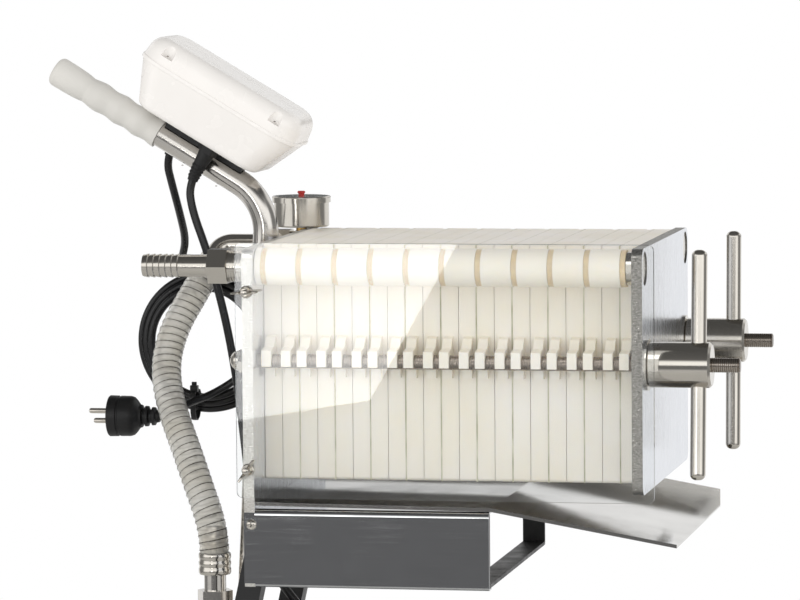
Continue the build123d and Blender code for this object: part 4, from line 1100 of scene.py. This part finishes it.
class PRESS_OT_threads(bpy.types.Operator):
    """Cuts the look of threads on the rods' ends and the two fittings"""

    bl_idname = "press.threads"
    bl_label = "Threads"

    def execute(self, context):
        sizes = context.scene.press_sizes
        tree = thread_tree()
        low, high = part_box("tie_rods")
        hub_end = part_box("near_tee_nut")[1].x
        count = int((high.x - hub_end - 0.002) / sizes.rod_pitch)
        reach = (low.y + high.y) / 2 + 0.117
        points = [(hub_end + 0.0012, side * reach, ROD_Z) for side in (-1, 1)]
        grow(
            "rod_threads", tree, points, "turned", "brushed_steel",
            Radius=0.00575, Pitch=sizes.rod_pitch, Rings=count, Crest=0.00029,
        )
        points = [spot(-14.6, side * 125, 80) for side in (-1, 1)]
        grow(
            "port_threads", tree, points, "turned", "brushed_steel",
            Radius=0.0127, Pitch=0.0023, Rings=6, Crest=0.0006,
        )
        return {"FINISHED"}


class PRESS_OT_filter_sheets(bpy.types.Operator):
    """Lays the edges of the filter sheets between the plates"""

    bl_idname = "press.filter_sheets"
    bl_label = "Filter sheets"

    def execute(self, context):
        sizes = context.scene.press_sizes
        pitch = 0.0151
        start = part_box("near_ear_plates")
        first = HEAD_INNER_X + 0.0003 + 2 * pitch - 0.0002
        middle = (start[0].z + start[1].z) / 2
        grow(
            "filter_sheets", sheet_tree(), [(first, 0, middle)], "sheet", "white_plate",
            Pitch=2 * pitch, Sheets=10, Size=(sizes.sheet_thickness * 0.7, 0.2042, 0.198),
        )
        return {"FINISHED"}


class PRESS_OT_screws(bpy.types.Operator):
    """Sets the small screws of the box, the apron and the saddle"""

    bl_idname = "press.screws"
    bl_label = "Screws"

    def execute(self, context):
        sizes = context.scene.press_sizes
        tree = screw_tree()
        points, facing = [], []
        for along in (-3.4, 31.2):
            points.append(on_box(along, 0, -11.8))
            facing.append(tuple(-TUBE_NORMAL))
        for along in (-54, 54):
            for side in (-41.5, 41.5):
                points.append(on_box(along, side, 66.2))
                facing.append(tuple(TUBE_NORMAL))
        # The small screws take the rod's finish, darkened with painted shade
        grow(
            "small_screws", tree, points, "rod", "brushed_steel", facing=facing,
            Head_Diameter=sizes.screw_head,
        )
        grow(
            "apron_screw", tree, [spot(6.5, -148.2, -134.5)], "turned", "brushed_steel",
            facing=[(0, -1, 0)], Head_Diameter=0.0092,
        )
        return {"FINISHED"}


class PRESS_OT_wing_nuts(bpy.types.Operator):
    """Makes the two wing nuts that hold the guard, with the ends of their studs"""

    bl_idname = "press.wing_nuts"
    bl_label = "Wing nuts"

    def execute(self, context):
        form = bmesh.new()
        for height, turn in ((60.3, 4), (-88.5, 55)):
            self.add_nut(form, spot(4.5, -150.8, height), radians(turn))
        nuts = keep("wing_nuts", as_mesh("wing_nuts", form, 35), "turned")
        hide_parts("guard_wing_nuts")
        return {"FINISHED"}

    def add_nut(self, form, foot, turn):
        near = Vector((0, -1, 0))
        turn_profile(form, (
            (0, 0), (0, 5.2), (1.1, 5.2), (1.5, 4.5), (6, 3.6),
            (6.6, 3), (6.6, 0),
        ), foot, near, 28)
        stud = [(6, 0)]
        for index in range(5):
            stud += [(6 + 0.9 * index, 2.1), (6.4 + 0.9 * index, 2.5)]
        stud += [(10.4, 1.8), (10.4, 0)]
        turn_profile(form, stud, foot, near, 20)
        across = Vector((cos(turn), 0, sin(turn)))
        thick = near.cross(across)
        # Each section of a wing: reach from the hub's axis, its lower and upper edge, half its thickness
        sections = (
            (2.8, 0.8, 5.6, 1.5), (5.5, 1.6, 7.4, 1.25), (8.4, 3.0, 8.6, 1.1), (10.6, 4.4, 8.8, 0.9),
            (11.6, 5.6, 7.6, 0.6),
        )
        for way in (-1, 1):
            rings = []
            for reach, low, high, half in sections:
                soft = 0.6 * half
                outline = (
                    (low + soft, half), (high - soft, half), (high, half - soft), (high, soft - half),
                    (high - soft, -half), (low + soft, -half), (low, soft - half), (low, half - soft),
                )
                rings.append([
                    form.verts.new(foot + (across * way * reach + near * out + thick * side) / 1000)
                    for out, side in outline
                ])
            for first, second in zip(rings, rings[1:]):
                add_band(form, first, second)
            form.faces.new(rings[0])
            form.faces.new(rings[-1])


class PRESS_OT_gauge(bpy.types.Operator):
    """Marks the gauge's dial and lays its glass, pointer and red knob"""

    bl_idname = "press.gauge"
    bl_label = "Gauge"

    def execute(self, context):
        low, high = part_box("gauge_dial")
        centre = Vector(((low.x + high.x) / 2, (low.y + high.y) / 2, high.z))
        up = Vector((0, 0, 1))
        form = bmesh.new()
        for number in range(21):
            angle = radians(225 - 13.5 * number)
            long = 0.0044 if number % 4 == 0 else 0.0024
            turn = Matrix.Rotation(angle, 3, "Z")
            middle = centre + turn @ Vector((0.0196 - long / 2, 0, 0.00015))
            add_block(form, middle, (long, 0.0007 if number % 4 else 0.0011, 0.0003), turn)
        keep("dial_marks", as_mesh("dial_marks", form), "black_ink")
        form = bmesh.new()
        turn = Matrix.Rotation(radians(215), 3, "Z")
        outline = (
            (-0.0055, 0.0011), (-0.0055, -0.0011), (0.0, -0.0009), (0.0165, -0.0002),
            (0.0165, 0.0002), (0.0, 0.0009),
        )
        faces = [
            [form.verts.new(centre + turn @ Vector((x, y, z))) for x, y in outline]
            for z in (0.0009, 0.0013)
        ]
        form.faces.new(faces[0])
        form.faces.new(faces[1])
        add_band(form, *faces)
        keep("gauge_pointer", as_mesh("gauge_pointer", form), "black_ink")
        form = bmesh.new()
        disc = ((0, 0), (0, 22.6), (0.8, 22.6), (0.8, 0))
        turn_profile(form, disc, centre + up * 0.0015, up, 48)
        keep("gauge_glass", as_mesh("gauge_glass", form), "acrylic")
        form = bmesh.new()
        turn_profile(form, (
            (0, 0), (0, 2.6), (2, 2.6), (2.4, 3.4), (3.8, 3.4),
            (4.3, 2.8), (4.3, 0),
        ), centre + up * 0.0024, up, 28)
        keep("gauge_knob", as_mesh("gauge_knob", form), "red")
        return {"FINISHED"}


class PRESS_OT_box_rim(bpy.types.Operator):
    """Makes the raised rim where the switch box's lid meets its base"""

    bl_idname = "press.box_rim"
    bl_label = "Box rim"

    def execute(self, context):
        form = bmesh.new()
        half_length, half_width, corner = 77.0, 45.0, 24.0
        section = ((-1.2, 54.9), (0.35, 54.9), (0.6, 55.2), (0.6, 57.9), (0.35, 58.2), (-1.2, 58.2))
        rings = []
        for number in range(96):
            quarter, share = divmod(number, 24)
            angle = radians(90 * (quarter + share / 23))
            sign_x = (1, -1, -1, 1)[quarter]
            sign_y = (1, 1, -1, -1)[quarter]
            middle_x = sign_x * (half_length - corner)
            middle_y = sign_y * (half_width - corner)
            rings.append([
                form.verts.new(on_box(
                    middle_x + (corner + out) * cos(angle), middle_y + (corner + out) * sin(angle), rise
                ))
                for out, rise in section
            ])
        for first, second in zip(rings, rings[1:] + rings[:1]):
            add_band(form, first, second)
        keep("box_rim", as_mesh("box_rim", form, 30), "box")
        return {"FINISHED"}


class PRESS_PT_press(bpy.types.Panel):
    """Lists the steps that dress the filter press"""

    bl_label = "Filter press"
    bl_space_type = "VIEW_3D"
    bl_region_type = "UI"
    bl_category = "Filter press"

    def draw(self, context):
        scene = context.scene
        for name in PressSizes.__annotations__:
            self.layout.prop(scene.press_sizes, name)
        for name in PressColours.__annotations__:
            self.layout.prop(scene.press_colours, name)
        for operator in OPERATORS:
            self.layout.operator(operator.bl_idname)


OPERATORS = (
    PRESS_OT_stage, PRESS_OT_finishes, PRESS_OT_hose, PRESS_OT_leads, PRESS_OT_threads,
    PRESS_OT_filter_sheets, PRESS_OT_screws, PRESS_OT_wing_nuts, PRESS_OT_gauge, PRESS_OT_box_rim,
)
CLASSES = (PressSizes, PressColours, *OPERATORS, PRESS_PT_press)


def register():
    for kind in CLASSES:
        bpy.utils.register_class(kind)
    bpy.types.Scene.press_sizes = bpy.props.PointerProperty(type=PressSizes)
    bpy.types.Scene.press_colours = bpy.props.PointerProperty(type=PressColours)


def unregister():
    del bpy.types.Scene.press_colours
    del bpy.types.Scene.press_sizes
    for kind in reversed(CLASSES):
        bpy.utils.unregister_class(kind)


def main():
    register()
    bpy.ops.press.stage()
    bpy.ops.press.finishes()
    bpy.ops.press.hose()
    bpy.ops.press.leads()
    bpy.ops.press.threads()
    bpy.ops.press.filter_sheets()
    bpy.ops.press.screws()
    bpy.ops.press.wing_nuts()
    bpy.ops.press.gauge()
    bpy.ops.press.box_rim()


if __name__ == "__main__":
    main()
